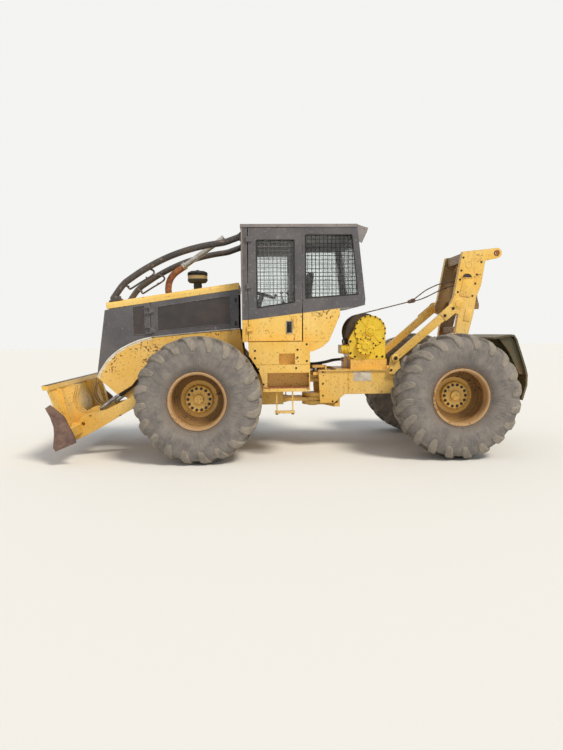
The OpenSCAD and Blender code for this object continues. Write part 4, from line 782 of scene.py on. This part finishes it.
black_moulding = moulded("dusty_black_moulding", "#1b1a19", "#4a4237")
straw_band = moulded("yellowed_clear_plastic", "#a58c58", "#b79f70", 0.35)
bm = bmesh.new()
bowl = from_hitch(1568, 200, 0)
neck_foot = on_hood(1568, 200)
neck_flange = [(0, 0.5), (78, 0.5), (78, 12), (74, 18), (57, 18)]
turned(bm, neck_flange, 40, neck_foot.translation, neck_foot.to_3x3() @ upright)
turned(bm, [(55, 2181), (55, 2222), (58, 2224), (58, 2236), (55, 2238), (55, 2268), (62, 2271.5),
            (108, 2272), (114, 2276), (131, 2296), (134.5, 2304), (134.5, 2322)], 56, bowl, (0, 0, 1))
turned(bm, [(134.5, 2322), (131, 2323), (131, 2366), (134.5, 2367)], 56, bowl, (0, 0, 1), 1)
turned(bm, [(134.5, 2367), (135.5, 2369), (135.5, 2374), (120, 2375), (120, 2398), (135, 2399),
            (135.5, 2402), (134.5, 2406), (128, 2411), (118, 2419), (98, 2428), (60, 2432), (24, 2433),
            (22, 2436), (22, 2441), (18, 2444), (0, 2444.5)], 56, bowl, (0, 0, 1))
for i in range(30):
    angle = math.radians(12 * i)
    spot = bowl + Vector((0.127 * math.cos(angle), 0.127 * math.sin(angle), 2.3865))
    vane = Matrix.Translation(spot) @ Matrix.Rotation(angle + 0.7, 4, "Z")
    plate(bm, (-0.0075, -0.0012, -0.012), (0.0075, 0.0012, 0.012), 0, 0.0004, vane)
plate(bm, (-0.021, -0.0025, 2.440), (0.021, 0.0025, 2.446), 0, 0.001, Matrix.Translation(bowl))
bolt(bm, bowl + Vector((0.0, 0.059, 2.230)), (0, 1, 0), 0.006, 2)
cleaner = finish_mesh(bm, "moulded_precleaner", black_moulding, straw_band, nut_black, smooth=40)
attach(cleaner, "front")
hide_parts("precleaner")


# Seat: two stuffed vinyl cushions on a sprung steel plinth, each crowned, with three sewn channels.
# The cushions are cubes rounded, crowned and grooved vertex by vertex; no simulation runs.
vinyl = moulded("grained_black_vinyl", "#1e1d1d", "#3c3732", 0.45)
plinth_grey = moulded("scuffed_plinth_enamel", "#2e2c2b", "#4f463d", 0.5)


def cushion(name, half, crown, place, tilt):
    """A crowned cushion: half sizes in metres, thickness along local Z, channels across it."""
    bm = bmesh.new()
    bmesh.ops.create_cube(bm, size=2)
    bmesh.ops.subdivide_edges(bm, edges=bm.edges, cuts=23, use_grid_fill=True)
    for v in bm.verts:
        u, w, t = v.co
        swell = (abs(u) ** 7 + abs(w) ** 7 + abs(t) ** 7) ** (1 / 7)
        u, w, t = u / swell, w / swell, t / swell
        waist_u, waist_w = (1 - 0.035 * (1 - c * c) * (1 - t * t) for c in (w, u))
        high = crown * (1 - u * u) * (1 - w * w) if t > 0 else 0
        for channel in (-0.48, 0.0, 0.48):
            high -= 0.009 * math.exp(-(((u - channel) / 0.035) ** 2)) * max(t, 0) ** 2
        seam = 0.003 * math.exp(-((t / 0.10) ** 2))
        v.co.x = u * half[0] * waist_u + math.copysign(seam, u)
        v.co.y = w * half[1] * waist_w + math.copysign(seam, w)
        v.co.z = t * half[2] + high
    bmesh.ops.transform(bm, matrix=Matrix.Translation(place) @ Matrix.Rotation(tilt, 4, "Y"), verts=bm.verts)
    made = finish_mesh(bm, name, vinyl, smooth=60)
    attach(made, "front")
    return made


seat_pad = cushion("seat_cushion", (0.234, 0.252, 0.046), 0.014, from_hitch(262, 0, 1800), 0.0)
cushion("back_cushion", (0.275, 0.232, 0.046), 0.014, from_hitch(62, 0, 2140), math.radians(82))
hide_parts("seat")
bm = bmesh.new()
plate(bm, from_hitch(70, -180, 1501), from_hitch(390, 180, 1516), ease=0.004)
# Six folds of the bellows, every other one 4 mm narrower
for i in range(6):
    inset, floor_z = 4 * (i % 2), 1516 + 34 * i
    low, high = (82 + inset, inset - 168, floor_z), (378 - inset, 168 - inset, floor_z + 34)
    plate(bm, from_hitch(*low), from_hitch(*high), ease=0.010)
plate(bm, from_hitch(40, -235, 1720), from_hitch(480, 235, 1750), ease=0.008)
back_post = [(60, 262, 1738), (-6, 262, 1760), (-12, 250, 1900), (-20, 230, 2050)]
for side in (-1, 1):
    tube(bm, smoothed([from_hitch(x, side * y, z) for x, y, z in back_post], 5), 0.014, 12)
plinth = finish_mesh(bm, "seat_plinth", plinth_grey)
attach(plinth, "front")


# Controls: a tube column with a padded steering wheel, and a pressed stand with three levers.
# Moulded black grips and boots over painted steel.
def ring_profile(radius, thick, steps):
    """The lathe profile of a round ring: its middle radius and half thickness in millimetres."""
    turns = [math.tau * k / steps for k in range(steps + 1)]
    return [(radius + thick * math.cos(turn), thick * math.sin(turn)) for turn in turns]


bm = bmesh.new()
plate(bm, from_hitch(800, -80, 1500), from_hitch(920, 80, 1514), 1)
column_line = [(875, 1512), (845, 1620), (735, 2000), (702, 2112)]
column_radii = [0.045] * 4 + [0.035] * 6
tube(bm, smoothed([from_hitch(x, 0, z) for x, z in column_line], 3), column_radii, 20, 1)
wheel_tilt = math.radians(16)
wheel_axis = Vector((-math.sin(wheel_tilt), 0, math.cos(wheel_tilt)))
wheel_hub = from_hitch(697, 0, 2124)
turned(bm, ring_profile(185, 14, 12), 56, wheel_hub, wheel_axis)
turned(bm, [(0, -22), (34, -20), (40, -6), (40, 8), (34, 16), (20, 20), (0, 21)], 28, wheel_hub, wheel_axis)
spokes = Matrix.Translation(wheel_hub) @ Matrix.Rotation(-wheel_tilt, 4, "Y")
for angle in (0.0, 2.1, 4.2):
    along = Vector((math.cos(angle), math.sin(angle), 0))
    spoke = [spokes @ (along * reach - upright * 0.004) for reach in (0.03, 0.1, 0.184)]
    tube(bm, spoke, [0.010, 0.008, 0.009], 10)
knob = [(0, 0), (12, 2), (18, 16), (21, 34), (15, 46), (0, 50)]
turned(bm, knob, 16, spokes @ Vector((-0.185, 0.0, 0.010)), wheel_axis)
plate(bm, from_hitch(200, 420, 1500), from_hitch(520, 560, 1960), 1, 0.018)
plate(bm, from_hitch(214, 434, 1958), from_hitch(506, 546, 1964), 0, 0.002)
boot = [(30, 0), (28, 8), (22, 14), (24, 20), (17, 26), (18, 32), (10, 40)]
grip = [(6, 0), (12, 4), (19, 16), (20, 26), (14, 36), (0, 40)]
lever_lean = (0.18, 0, 1)
for x in (260, 340, 420):
    turned(bm, boot, 18, from_hitch(x, 490, 1964), lever_lean)
    lever = [from_hitch(x + ahead, 490, z) for ahead, z in ((0, 1966), (16, 2040), (27, 2096))]
    tube(bm, lever, 0.006, 10, 1)
    turned(bm, grip, 18, from_hitch(x + 26, 490, 2090), lever_lean)
controls = finish_mesh(bm, "wheel_and_levers", black_moulding, plinth_grey, smooth=40)
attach(controls, "front")
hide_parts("controls")


# Hitch hoses: four braided rubber hoses between the frames, with crimped steel ends.
# Plain tubes through the route of the part's source.
braided, tree, shader, where = start_material("braided_hose_rubber", 0.7)
weave = add_node(tree, "ShaderNodeTexChecker", {"Vector": where, "Scale": 420.0}).outputs["Fac"]
dust = patches(tree, where, 12.0, 0.4, 0.7, 0.7, 5.0, 0.5)
colour = {0: dust, 6: linear("#1a1918"), 7: linear("#4d4338")}
colour = add_node(tree, "ShaderNodeMix", colour, data_type="RGBA").outputs[2]
tie(tree, shader, colour, weave, 0.0006)
crimp_steel, tree, shader, where = start_material("dull_plated_fittings", 0.42, metallic=1.0)
film = add_node(tree, "ShaderNodeTexNoise", {"Vector": where, "Scale": 30.0, "Detail": 5.0}).outputs["Fac"]
colour = {0: film, 6: linear("#a8a69c"), 7: linear("#5f5548")}
colour = add_node(tree, "ShaderNodeMix", colour, data_type="RGBA").outputs[2]
tie(tree, shader, colour, film, 0.0003)
hose_line = [(-430, 1205), (-390, 1205), (-300, 1198), (-190, 1172), (-60, 1152), (60, 1152), (190, 1172),
             (300, 1198), (390, 1205), (430, 1205)]
nut = [(0, 1), (20, 1), (20, 16), (15, 18)]
ferrule = [(14.5, 18), (16.5, 20), (16.5, 30), (15.5, 32), (16.5, 34), (16.5, 46), (14.2, 48)]
bm = bmesh.new()
for y in (-95, -35, 35, 95):
    tube(bm, smoothed([from_hitch(x, y, z) for x, z in hose_line], 4), 0.014, 16)
    for end, way in ((-430, 1), (430, -1)):
        turned(bm, nut, 6, from_hitch(end, y, 1205), (way, 0, 0), 1)
        turned(bm, ferrule, 18, from_hitch(end, y, 1205), (way, 0, 0), 1)
hoses = finish_mesh(bm, "braided_hitch_hoses", braided, crimp_steel, smooth=40)
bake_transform(hoses)
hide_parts("hitch_hoses")


# Winch: a lathe-turned drum wound with rope, and cast covers with ribs, rings and bolts over the housing.
# Castings in lemon enamel, the drum's cheeks greasy black and its rope bare and brown; a hydraulic motor is
# flanged on in front.
def slab(bm, xs, ys, zs, slot=0, ease=0.003):
    """An eased box between limits in millimetres from the hitch, in any order."""
    spans = [sorted(pair) for pair in (xs, ys, zs)]
    plate(bm, from_hitch(*[s[0] for s in spans]), from_hitch(*[s[1] for s in spans]), slot, ease)


laid_rope, tree, shader, where = start_material("laid_wire_rope", metallic=0.8)
lay = {"Vector": where, "Scale": 60.0, "Distortion": 0.6}
strands = add_node(tree, "ShaderNodeTexWave", lay, bands_direction="DIAGONAL").outputs["Fac"]
brown = patches(tree, where, 18.0, 0.38, 0.62, 1.0, 5.0, 0.5)
colour = {0: brown, 6: linear("#7d7972"), 7: linear("#5a3f2e")}
colour = add_node(tree, "ShaderNodeMix", colour, data_type="RGBA").outputs[2]
tie(tree, shader, colour, strands, 0.0015)
drum_axis = from_hitch(-700, 0, 1590)
bm = bmesh.new()
one_turn = ((0, 0), (5.5, 2.5), (8, 8), (5.5, 13.5))
wraps = [(232 + high, 16 * k - 168 + along) for k in range(21) for high, along in one_turn]
turned(bm, [(100, -168)] + wraps + [(232, 168), (100, 168)], 72, drum_axis, (0, 1, 0), 1)
cheek = [(40, 168), (247, 168), (253.5, 169.5), (255, 173), (255, 181), (253.5, 184.5), (247, 185),
         (150, 185), (145, 187.5), (60, 187.5), (40, 190), (40, 260), (0, 260)]
for side in (1, -1):
    turned(bm, cheek, 72, drum_axis, (0, side, 0))
drum = finish_mesh(bm, "wound_winch_drum", black_enamel, laid_rope, smooth=50)
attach(drum, "winch_drum")
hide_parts("winch_drum")
bm = bmesh.new()
for side in (1, -1):
    out = Vector((0, side, 0))
    low_cover, high_cover = from_hitch(-700, side * 312, 1400), from_hitch(-770, side * 280, 1600)
    turned(bm, [(98, 0), (100, 5), (106, 8), (118, 8), (123.5, 5), (125, 0)], 56, low_cover, out)
    turned(bm, [(58, 0), (56, 10), (50, 14), (30, 14), (27, 10), (0, 10)], 40, low_cover, out)
    turned(bm, [(196, 0), (198, 4), (202, 6), (211, 6), (214.5, 3), (215, 0)], 72, high_cover, out)
    turned(bm, [(72, 0), (70, 12), (64, 16), (40, 16), (36, 22), (0, 22)], 40, high_cover, out)
    for i in range(8):
        spin_by = Matrix.Translation(low_cover) @ Matrix.Rotation(math.radians(45 * i + 20), 4, "Y")
        plate(bm, (0.054, -0.006, -0.005), (0.101, 0.006, 0.005), 0, 0.002, spin_by)
    for i in range(6):
        spin_by = Matrix.Translation(high_cover) @ Matrix.Rotation(math.radians(60 * i + 10), 4, "Y")
        plate(bm, (0.068, -0.005, -0.006), (0.199, 0.005, 0.006), 0, 0.002, spin_by)
    for middle, ring, count in ((low_cover, 0.112, 10), (high_cover, 0.2065, 18)):
        for i in range(count):
            angle = math.tau * (i + 0.5) / count
            spot = middle + Vector((ring * math.cos(angle), side * 0.006, ring * math.sin(angle)))
            if middle is low_cover or (spot - low_cover).xz.length > 0.14:
                bolt(bm, spot, out, 0.008, 1)
    for x, z in ((-940, 1250), (-860, 1250), (-560, 1250), (-500, 1300), (-500, 1460)):
        bolt(bm, from_hitch(x, side * 271, z), out, 0.011, 1)
turned(bm, [(0, 0), (70, 0), (70, 20), (60, 22), (56, 30), (56, 60), (50, 63), (50, 74), (56, 77), (56, 100),
            (48, 108), (0, 110)], 36, from_hitch(-478, 205, 1352), (1, 0, 0))
motor_hose = [(-410, 205, 1410), (-400, 205, 1470), (-440, 150, 1500), (-520, 60, 1440)]
tube(bm, smoothed([from_hitch(*spot) for spot in motor_hose], 5), 0.011, 12, 2)
covers = finish_mesh(bm, "ribbed_winch_covers", lemon_enamel, nut_black, braided, smooth=40)
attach(covers, "rear")


# Winch rope: laid wire rope, run taut to two sliding eyes and on to the fairlead.
# Tubes through the route of the part's source, with a forged slide and a pressed ferrule.
bm = bmesh.new()
to_slide = [(-642.5, 1831.5), (-1000, 1916.7), (-1390, 2009.6)]
upper_leg = [(-1440, 2035.6), (-1540, 2112), (-1640, 2180), (-1832, 2259), (-2010, 2282), (-2190, 2290)]
lower_leg = [(-1440, 2013.6), (-1540, 2040), (-1640, 2080), (-1819, 2165), (-2000, 2225), (-2190, 2262)]
for line in (to_slide, upper_leg, lower_leg):
    tube(bm, smoothed([from_hitch(x, 0, z) for x, z in line], 4), 0.008, 14)
slide_way = Vector((-104, 0, 28)).normalized()
turned(bm, [(0, 0), (13, 1), (20, 8), (26, 24), (26, 84), (21, 98), (13, 106), (0, 107)], 24,
       from_hitch(-1356, 0, 2001.6), slide_way, 1)
for y in (-30, 30):
    turned(bm, ring_profile(24, 8, 10), 28, from_hitch(-1430, y, 2021.6), (0, 1, 0.2), 1)
slide_pin = [(0, -36), (10, -36), (16, -30), (16, 30), (10, 36), (0, 36)]
turned(bm, slide_pin, 20, from_hitch(-1430, 0, 2021.6), (0, 1, 0), 1)
turned(bm, [(0, 0), (16, 0), (24, 10), (24, 42), (21, 46), (24, 50), (24, 90), (16, 100), (0, 100)], 24,
       from_hitch(-2170, 0, 2276), (-1, 0, 0), 1)
rope = finish_mesh(bm, "laid_winch_rope", laid_rope, rubbed_steel, smooth=50)
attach(rope, "rear")
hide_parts("winch_rope")


# Arch and struts: doubler plates, collars and bolts on the welded towers, forged heads on the struts.
# Thick plate with ground edges under the yellow enamel; fasteners black with grease.
strut_run = Matrix.Rotation(math.atan2(708, 835), 4, "Y") @ Matrix.Diagonal((-1, 1, 1, 1))
tower_face, strut_face = 380, 520
tower_lean = math.radians(-12.5)
bm = bmesh.new()
for side in (1, -1):
    out = Vector((0, side, 0))
    for x, z in ((-2010, 2571), (-2256, 2510), (-1985, 2399), (-2196, 2344), (-1968, 2279), (-2176, 2224),
                 (-1940, 2112), (-2140, 2060)):
        bolt(bm, from_hitch(x, side * tower_face, z), out, 0.010, 1)
    for x, z, tall, wide in ((-2056, 2165, 0.235, 0.072), (-2075, 1800, 0.16, 0.045)):
        spot = from_hitch(x, side * (tower_face + 2), z)
        lean = Matrix.Translation(spot) @ Matrix.Rotation(tower_lean, 4, "Y")
        plate(bm, (-wide, -0.006, -tall / 2), (wide, 0.006, tall / 2), 0, 0.004, lean)
    collar = [(24, 0), (24, 7), (27, 10), (34, 10), (38, 6), (39, 0)]
    turned(bm, collar, 32, from_hitch(-2465, side * tower_face, 2630), out, 2)
    turned(bm, [(0, 1), (40, 1), (43.5, -3)], 32, from_hitch(-2080, side * tower_face, 2470), out)
    # A half-round opening with a rolled lip, flat edge down
    arc = []
    for k in range(17):
        turn = math.pi * k / 16
        x, z = -2062 + 70 * math.cos(turn), 2300 + 62 * math.sin(turn)
        arc.append(from_hitch(x, side * (tower_face + 1), z))
    opening = bm.faces.new([bm.verts.new(p) for p in arc])
    opening.material_index = 1
    tube(bm, arc, 0.006, 10)
    tube(bm, [arc[-1], arc[-1].lerp(arc[0], 0.5), arc[0]], 0.006, 10)
    # Strut head with its pin and bolts, foot pin, and bolts of the foot and the deck
    head = Matrix.Translation(from_hitch(-1895, side * (strut_face + 2), 1945)) @ strut_run
    plate(bm, (-0.270, -0.007, -0.068), (0.030, 0.007, 0.068), 0, 0.006, head)
    turned(bm, [(0, 0), (74, 0), (74, 8), (70, 11), (44, 11), (42, 16), (30, 18), (0, 18)], 36,
           from_hitch(-1895, side * strut_face, 1945), out)
    for along in (-0.090, -0.235):
        bolt(bm, head @ Vector((along, side * 0.007, 0.0)), out, 0.014, 1)
    turned(bm, [(0, 0), (50, 0), (50, 6), (46, 9), (30, 9), (28, 14), (0, 15)], 32,
           from_hitch(-1060, side * strut_face, 1237), out)
    bolt(bm, from_hitch(-1060, side * (strut_face + 15), 1237), out, 0.016, 1)
    for x in (-1120, -1010):
        bolt(bm, from_hitch(x, side * 490, 1075), out, 0.012, 1)
    for x in (-2110, -1985, -1830):
        bolt(bm, from_hitch(x, side * 390, 1105), (0, 0, 1), 0.014, 1)
fittings = finish_mesh(bm, "arch_doublers_and_bolts", yellow_enamel, nut_black, copper_rust, smooth=40)
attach(fittings, "rear")


# Rear frame: a blank, weathered sticker plate, rub strips and bolt rows on the side plates.
# Thin pale plate glued flat; flanges and bolts black with grease.
pale_plate = moulded("weathered_blank_plate", "#d6cfbf", "#a8957a", 0.55)
frame_face = 429
bm = bmesh.new()
for side in (1, -1):
    out = Vector((0, side, 0))
    slab(bm, (-752, -512), (side * frame_face, side * (frame_face + 3.5)), (930, 1056), 1, 0.001)
    slab(bm, (-1140, -430), (side * frame_face, side * (frame_face + 12)), (757, 775), 0, 0.003)
    slab(bm, (-452, -440), (side * frame_face, side * (frame_face + 8)), (790, 1066), 0, 0.002)
    for x, z in ((-100, 1060), (-100, 900), (-100, 740), (-230, 660), (-1190, 800), (-1190, 1040)):
        bolt(bm, from_hitch(x, side * (frame_face + 1), z), out, 0.009, 2)
trim = finish_mesh(bm, "rear_frame_strips_and_plate", yellow_enamel, pale_plate, nut_black)
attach(trim, "rear")


# Side boxes and steps: bolted door panels with a rusty tread plate underfoot.
# Folded sheet in yellow enamel; the tread is bare steel with raised bars, rusted through its paint.
box_face = 850
bm = bmesh.new()
for side in (1, -1):
    out = Vector((0, side, 0))
    for x, z in ((802, 1366), (804, 1272), (267, 1374), (268, 1275), (762, 1134), (286, 1143), (150, 1440),
                 (150, 1230), (700, 940), (136, 1040)):
        bolt(bm, from_hitch(x, side * box_face, z), out, 0.0095, 1)
    slab(bm, (126, 705), (side * (box_face + 2), side * 958), (896, 900), 2, 0.001)
    for i in range(11):
        for j in range(2):
            spot = from_hitch(155 + 52 * i, side * (882 + 48 * j), 901)
            slant = math.radians(45 if (i + j) % 2 else -45)
            rib = Matrix.Translation(spot) @ Matrix.Rotation(slant, 4, "Z")
            plate(bm, (-0.018, -0.0035, -0.002), (0.018, 0.0035, 0.003), 2, 0.0015, rib)
    slab(bm, (130, 640), (side * 700, side * (box_face - 4)), (898, 901), 2, 0.001)
    for x in (338, 538):
        knot = [(0, 0), (16, 1), (18, 8), (16, 16), (0, 17)]
        turned(bm, knot, 18, from_hitch(x, side * 915, 580), (0, 0, -1), 1)
steps = finish_mesh(bm, "step_treads_and_box_bolts", yellow_enamel, nut_black, copper_rust)
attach(steps, "front")


# Cab: rubber seals round the panes, door handles sunk in steel cups, and pale bare strips on worn corners,
# partly painted highlight along the post edges.
# The seals are extruded black rubber; each door's pieces move with it.
seal_rubber = moulded("extruded_seal_rubber", "#191818", "#403931", 0.6)
bare_edge_and_highlight = moulded("rubbed_bare_edge_and_painted_highlight", "#8d8078", "#6a5a52", 0.5)
cab_face = 779
door_loop = [(766, 1906), (766, 2748), (294, 2748), (294, 1976)]
side_loop = [(150, 2024), (150, 2810), (-436, 2810), (-513, 2069)]
front_loop = [(20, 2122), (20, 2828), (658, 2828), (658, 2122)]
cup_walls = [((324, 334), (1578, 1738)), ((395, 405), (1578, 1738)),
             ((324, 405), (1578, 1588)), ((324, 405), (1728, 1738))]
handle_line = [(7, 1602), (27, 1620), (32, 1658), (27, 1696), (7, 1714)]


def framed(bm, corners, radius, slot=0):
    """Four tubes along a closed loop of points, as a seal or a rolled edge."""
    for start, end in zip(corners, corners[1:] + corners[:1]):
        tube(bm, [start, start.lerp(end, 0.5), end], radius, 10, slot)


bm = bmesh.new()
for side in (1, -1):
    framed(bm, [from_hitch(x, side * (cab_face + 2), z) for x, z in side_loop], 0.007)
    # Pale strips down the front posts: bare worn steel and a painted highlight on the edge
    for xs in ((945, 962), (889, 893)):
        slab(bm, xs, (side * cab_face, side * (cab_face + 3.5)), (1760, 2900), 1, 0.001)
    framed(bm, [from_hitch(961, side * y, z) for y, z in front_loop], 0.008)
rear_turn = Matrix.Translation(from_hitch(-608, 0, 2005)) @ Matrix.Rotation(math.atan(101 / 900), 4, "Y")
rear_loop = [(-0.6, 0.05), (-0.6, 0.805), (0.6, 0.805), (0.6, 0.05)]
framed(bm, [rear_turn @ Vector((-0.002, y, z)) for y, z in rear_loop], 0.008)
seals = finish_mesh(bm, "cab_seals_and_strips", seal_rubber, bare_edge_and_highlight)
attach(seals, "front")
for name, side in (("left", 1), ("right", -1)):
    bm = bmesh.new()
    framed(bm, [from_hitch(x, side * (cab_face + 2), z) for x, z in door_loop], 0.007)
    for xs, zs in cup_walls:
        slab(bm, xs, (side * cab_face, side * (cab_face + 10)), zs, 1, 0.002)
    slab(bm, (332, 397), (side * (cab_face + 6), side * (cab_face + 8.5)), (1586, 1730), 0, 0.001)
    handle = [from_hitch(364, side * (cab_face + out), z) for out, z in handle_line]
    tube(bm, smoothed(handle, 4), 0.009, 12)
    made = finish_mesh(bm, "door_seal_and_handle_" + name, seal_rubber, aluminised)
    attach(made, "cab_door_" + name)


# Engine doors and nose: perforated screens in the recessed fields, rolled edges, and a pale strip below.
# Punched sheet painted charcoal and dusty brown; the strip and the arch edge are rubbed to primer.
punched, tree, shader, where = start_material("punched_charcoal_sheet", metallic=0.3)
place = add_node(tree, "ShaderNodeSeparateXYZ", {0: where}).outputs
flat = add_node(tree, "ShaderNodeCombineXYZ", {"X": place["X"], "Y": place["Z"]}).outputs[0]
# Holes 9 mm across every 14 mm, coloured near-black as painted shade of the space behind them
holes_and_shade = {"Vector": flat, "Scale": 71.0, "Randomness": 0.0}
holes_and_shade = add_node(tree, "ShaderNodeTexVoronoi", holes_and_shade, voronoi_dimensions="2D").outputs["Distance"]
holes_and_shade = add_node(tree, "ShaderNodeMapRange", {0: holes_and_shade, 1: 0.36, 2: 0.30}).outputs[0]
soot = patches(tree, where, 4.0, 0.4, 0.62, 1.0, 6.0, 0.66)
coat = {0: soot, 6: linear("#4b494b"), 7: linear("#5f534e")}
coat = add_node(tree, "ShaderNodeMix", coat, data_type="RGBA").outputs[2]
# Painted shade: the holes take a near-black colour
coat = add_node(tree, "ShaderNodeMix", {0: holes_and_shade, 6: coat, 7: linear("#151414")}, data_type="RGBA").outputs[2]
tie(tree, shader, coat, holes_and_shade, -0.002)
chalky_edge = moulded("chalky_primer_edge", "#efeadd", "#cdbf9f", 0.75)


def field(bm, corners, y, side):
    """A flat sheet in slot 0 with a rolled edge in slot 1, its corners as (x, z) in millimetres."""
    spots = [from_hitch(x, side * y, z) for x, z in corners]
    sheet = bm.faces.new([bm.verts.new(p) for p in spots])
    thick = bmesh.ops.extrude_face_region(bm, geom=[sheet])["geom"]
    inner = [g for g in thick if isinstance(g, bmesh.types.BMVert)]
    bmesh.ops.translate(bm, vec=(0, side * -0.002, 0), verts=inner)
    framed(bm, spots, 0.006, 1)


field_face = 498
latch_knob = [(0, 8), (12, 8), (13, 12), (10, 16), (0, 16)]
for name, side in (("left", 1), ("right", -1)):
    bm = bmesh.new()
    field(bm, [(1122, 1712), (1122, 2078), (2068, 1944), (2068, 1627)], field_face, side)
    for x, z in ((1050, 1720), (1050, 2020)):
        latch = (side * (field_face + 1), side * (field_face + 9))
        slab(bm, (x - 16, x + 16), latch, (z - 28, z + 28), 2, 0.004)
        turned(bm, latch_knob, 20, from_hitch(x, latch[0], z), (0, side, 0), 2)
    made = finish_mesh(bm, "engine_door_screen_" + name, punched, charcoal_enamel, black_moulding)
    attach(made, "engine_door_" + name)
bm = bmesh.new()
for side in (1, -1):
    field(bm, [(2232, 1582), (2232, 1964), (2386, 1941), (2386, 1585)], field_face + 4, side)
    tube(bm, [from_hitch(1003, side * (field_face + 2), 1648),
              from_hitch(1500, side * (field_face + 2), 1608),
              from_hitch(2157, side * (field_face + 2), 1550)], 0.009, 10, 2)
    arch_edge = [(2158, 1550), (2330, 1507), (2472, 1446), (2580, 1388), (2670, 1318), (2740, 1247),
                 (2791, 1175), (2838, 1100), (2868, 1038)]
    tube(bm, smoothed([from_hitch(x - 3, side * (field_face + 1), z - 4) for x, z in arch_edge], 3), 0.011,
         10, 3)
    # Chipped primer shows in a band of 10 to 30 mm below the edge
    edge_line = smoothed([from_hitch(x - 5, side * (field_face + 2.5), z - 9) for x, z in arch_edge], 4)
    inner_line = []
    for k, spot in enumerate(edge_line):
        ahead, behind = edge_line[min(k + 1, len(edge_line) - 1)], edge_line[max(k - 1, 0)]
        run = (ahead - behind).normalized()
        wide = 0.019 + 0.006 * math.sin(2.1 * k) + 0.004 * math.sin(5.3 * k)
        inner_line.append(spot + Vector((run.z, 0, -run.x)) * wide)
    rows = [[bm.verts.new(p) for p in line] for line in (edge_line, inner_line)]
    for k in range(len(edge_line) - 1):
        bm.faces.new((rows[0][k], rows[0][k + 1], rows[1][k + 1], rows[1][k])).material_index = 3
nose_trim = finish_mesh(bm, "nose_screens_and_edge_strips", punched, charcoal_enamel, aluminised, chalky_edge)
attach(nose_trim, "front")


# Blade: a dark bar on the top rail, placed as painted shade where the rail's underside lies in shadow, and bolt
# rows on the end pieces and cutting edge. Rolled bar in greasy black, and plough bolts scoured by soil like the
# edge.
end_face = 1150
bm = bmesh.new()
# Painted shade: a black bar along the rail's top, where the rail's underside lies in shadow
slab(bm, (3284, 3338), (-1146, 1146), (980, 990), 0, 0.004)
for side in (1, -1):
    out = Vector((0, side, 0))
    for x, z in ((3060, 330), (3110, 430), (3160, 540), (3205, 640), (3150, 300)):
        bolt(bm, from_hitch(x, side * end_face, z), out, 0.014, 1)
    turned(bm, [(0, 0), (34, 0), (34, 6), (28, 12), (0, 12)], 28, from_hitch(2050, side * 627, 850), out, 1)
for i in range(12):
    bolt(bm, from_hitch(3232, -1045 + 190 * i, 212), (1, 0, 0), 0.013, 1)
rail_shade_bar = finish_mesh(bm, "blade_shade_bar_and_bolts", black_enamel, wear_steel)
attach(rail_shade_bar, "blade")
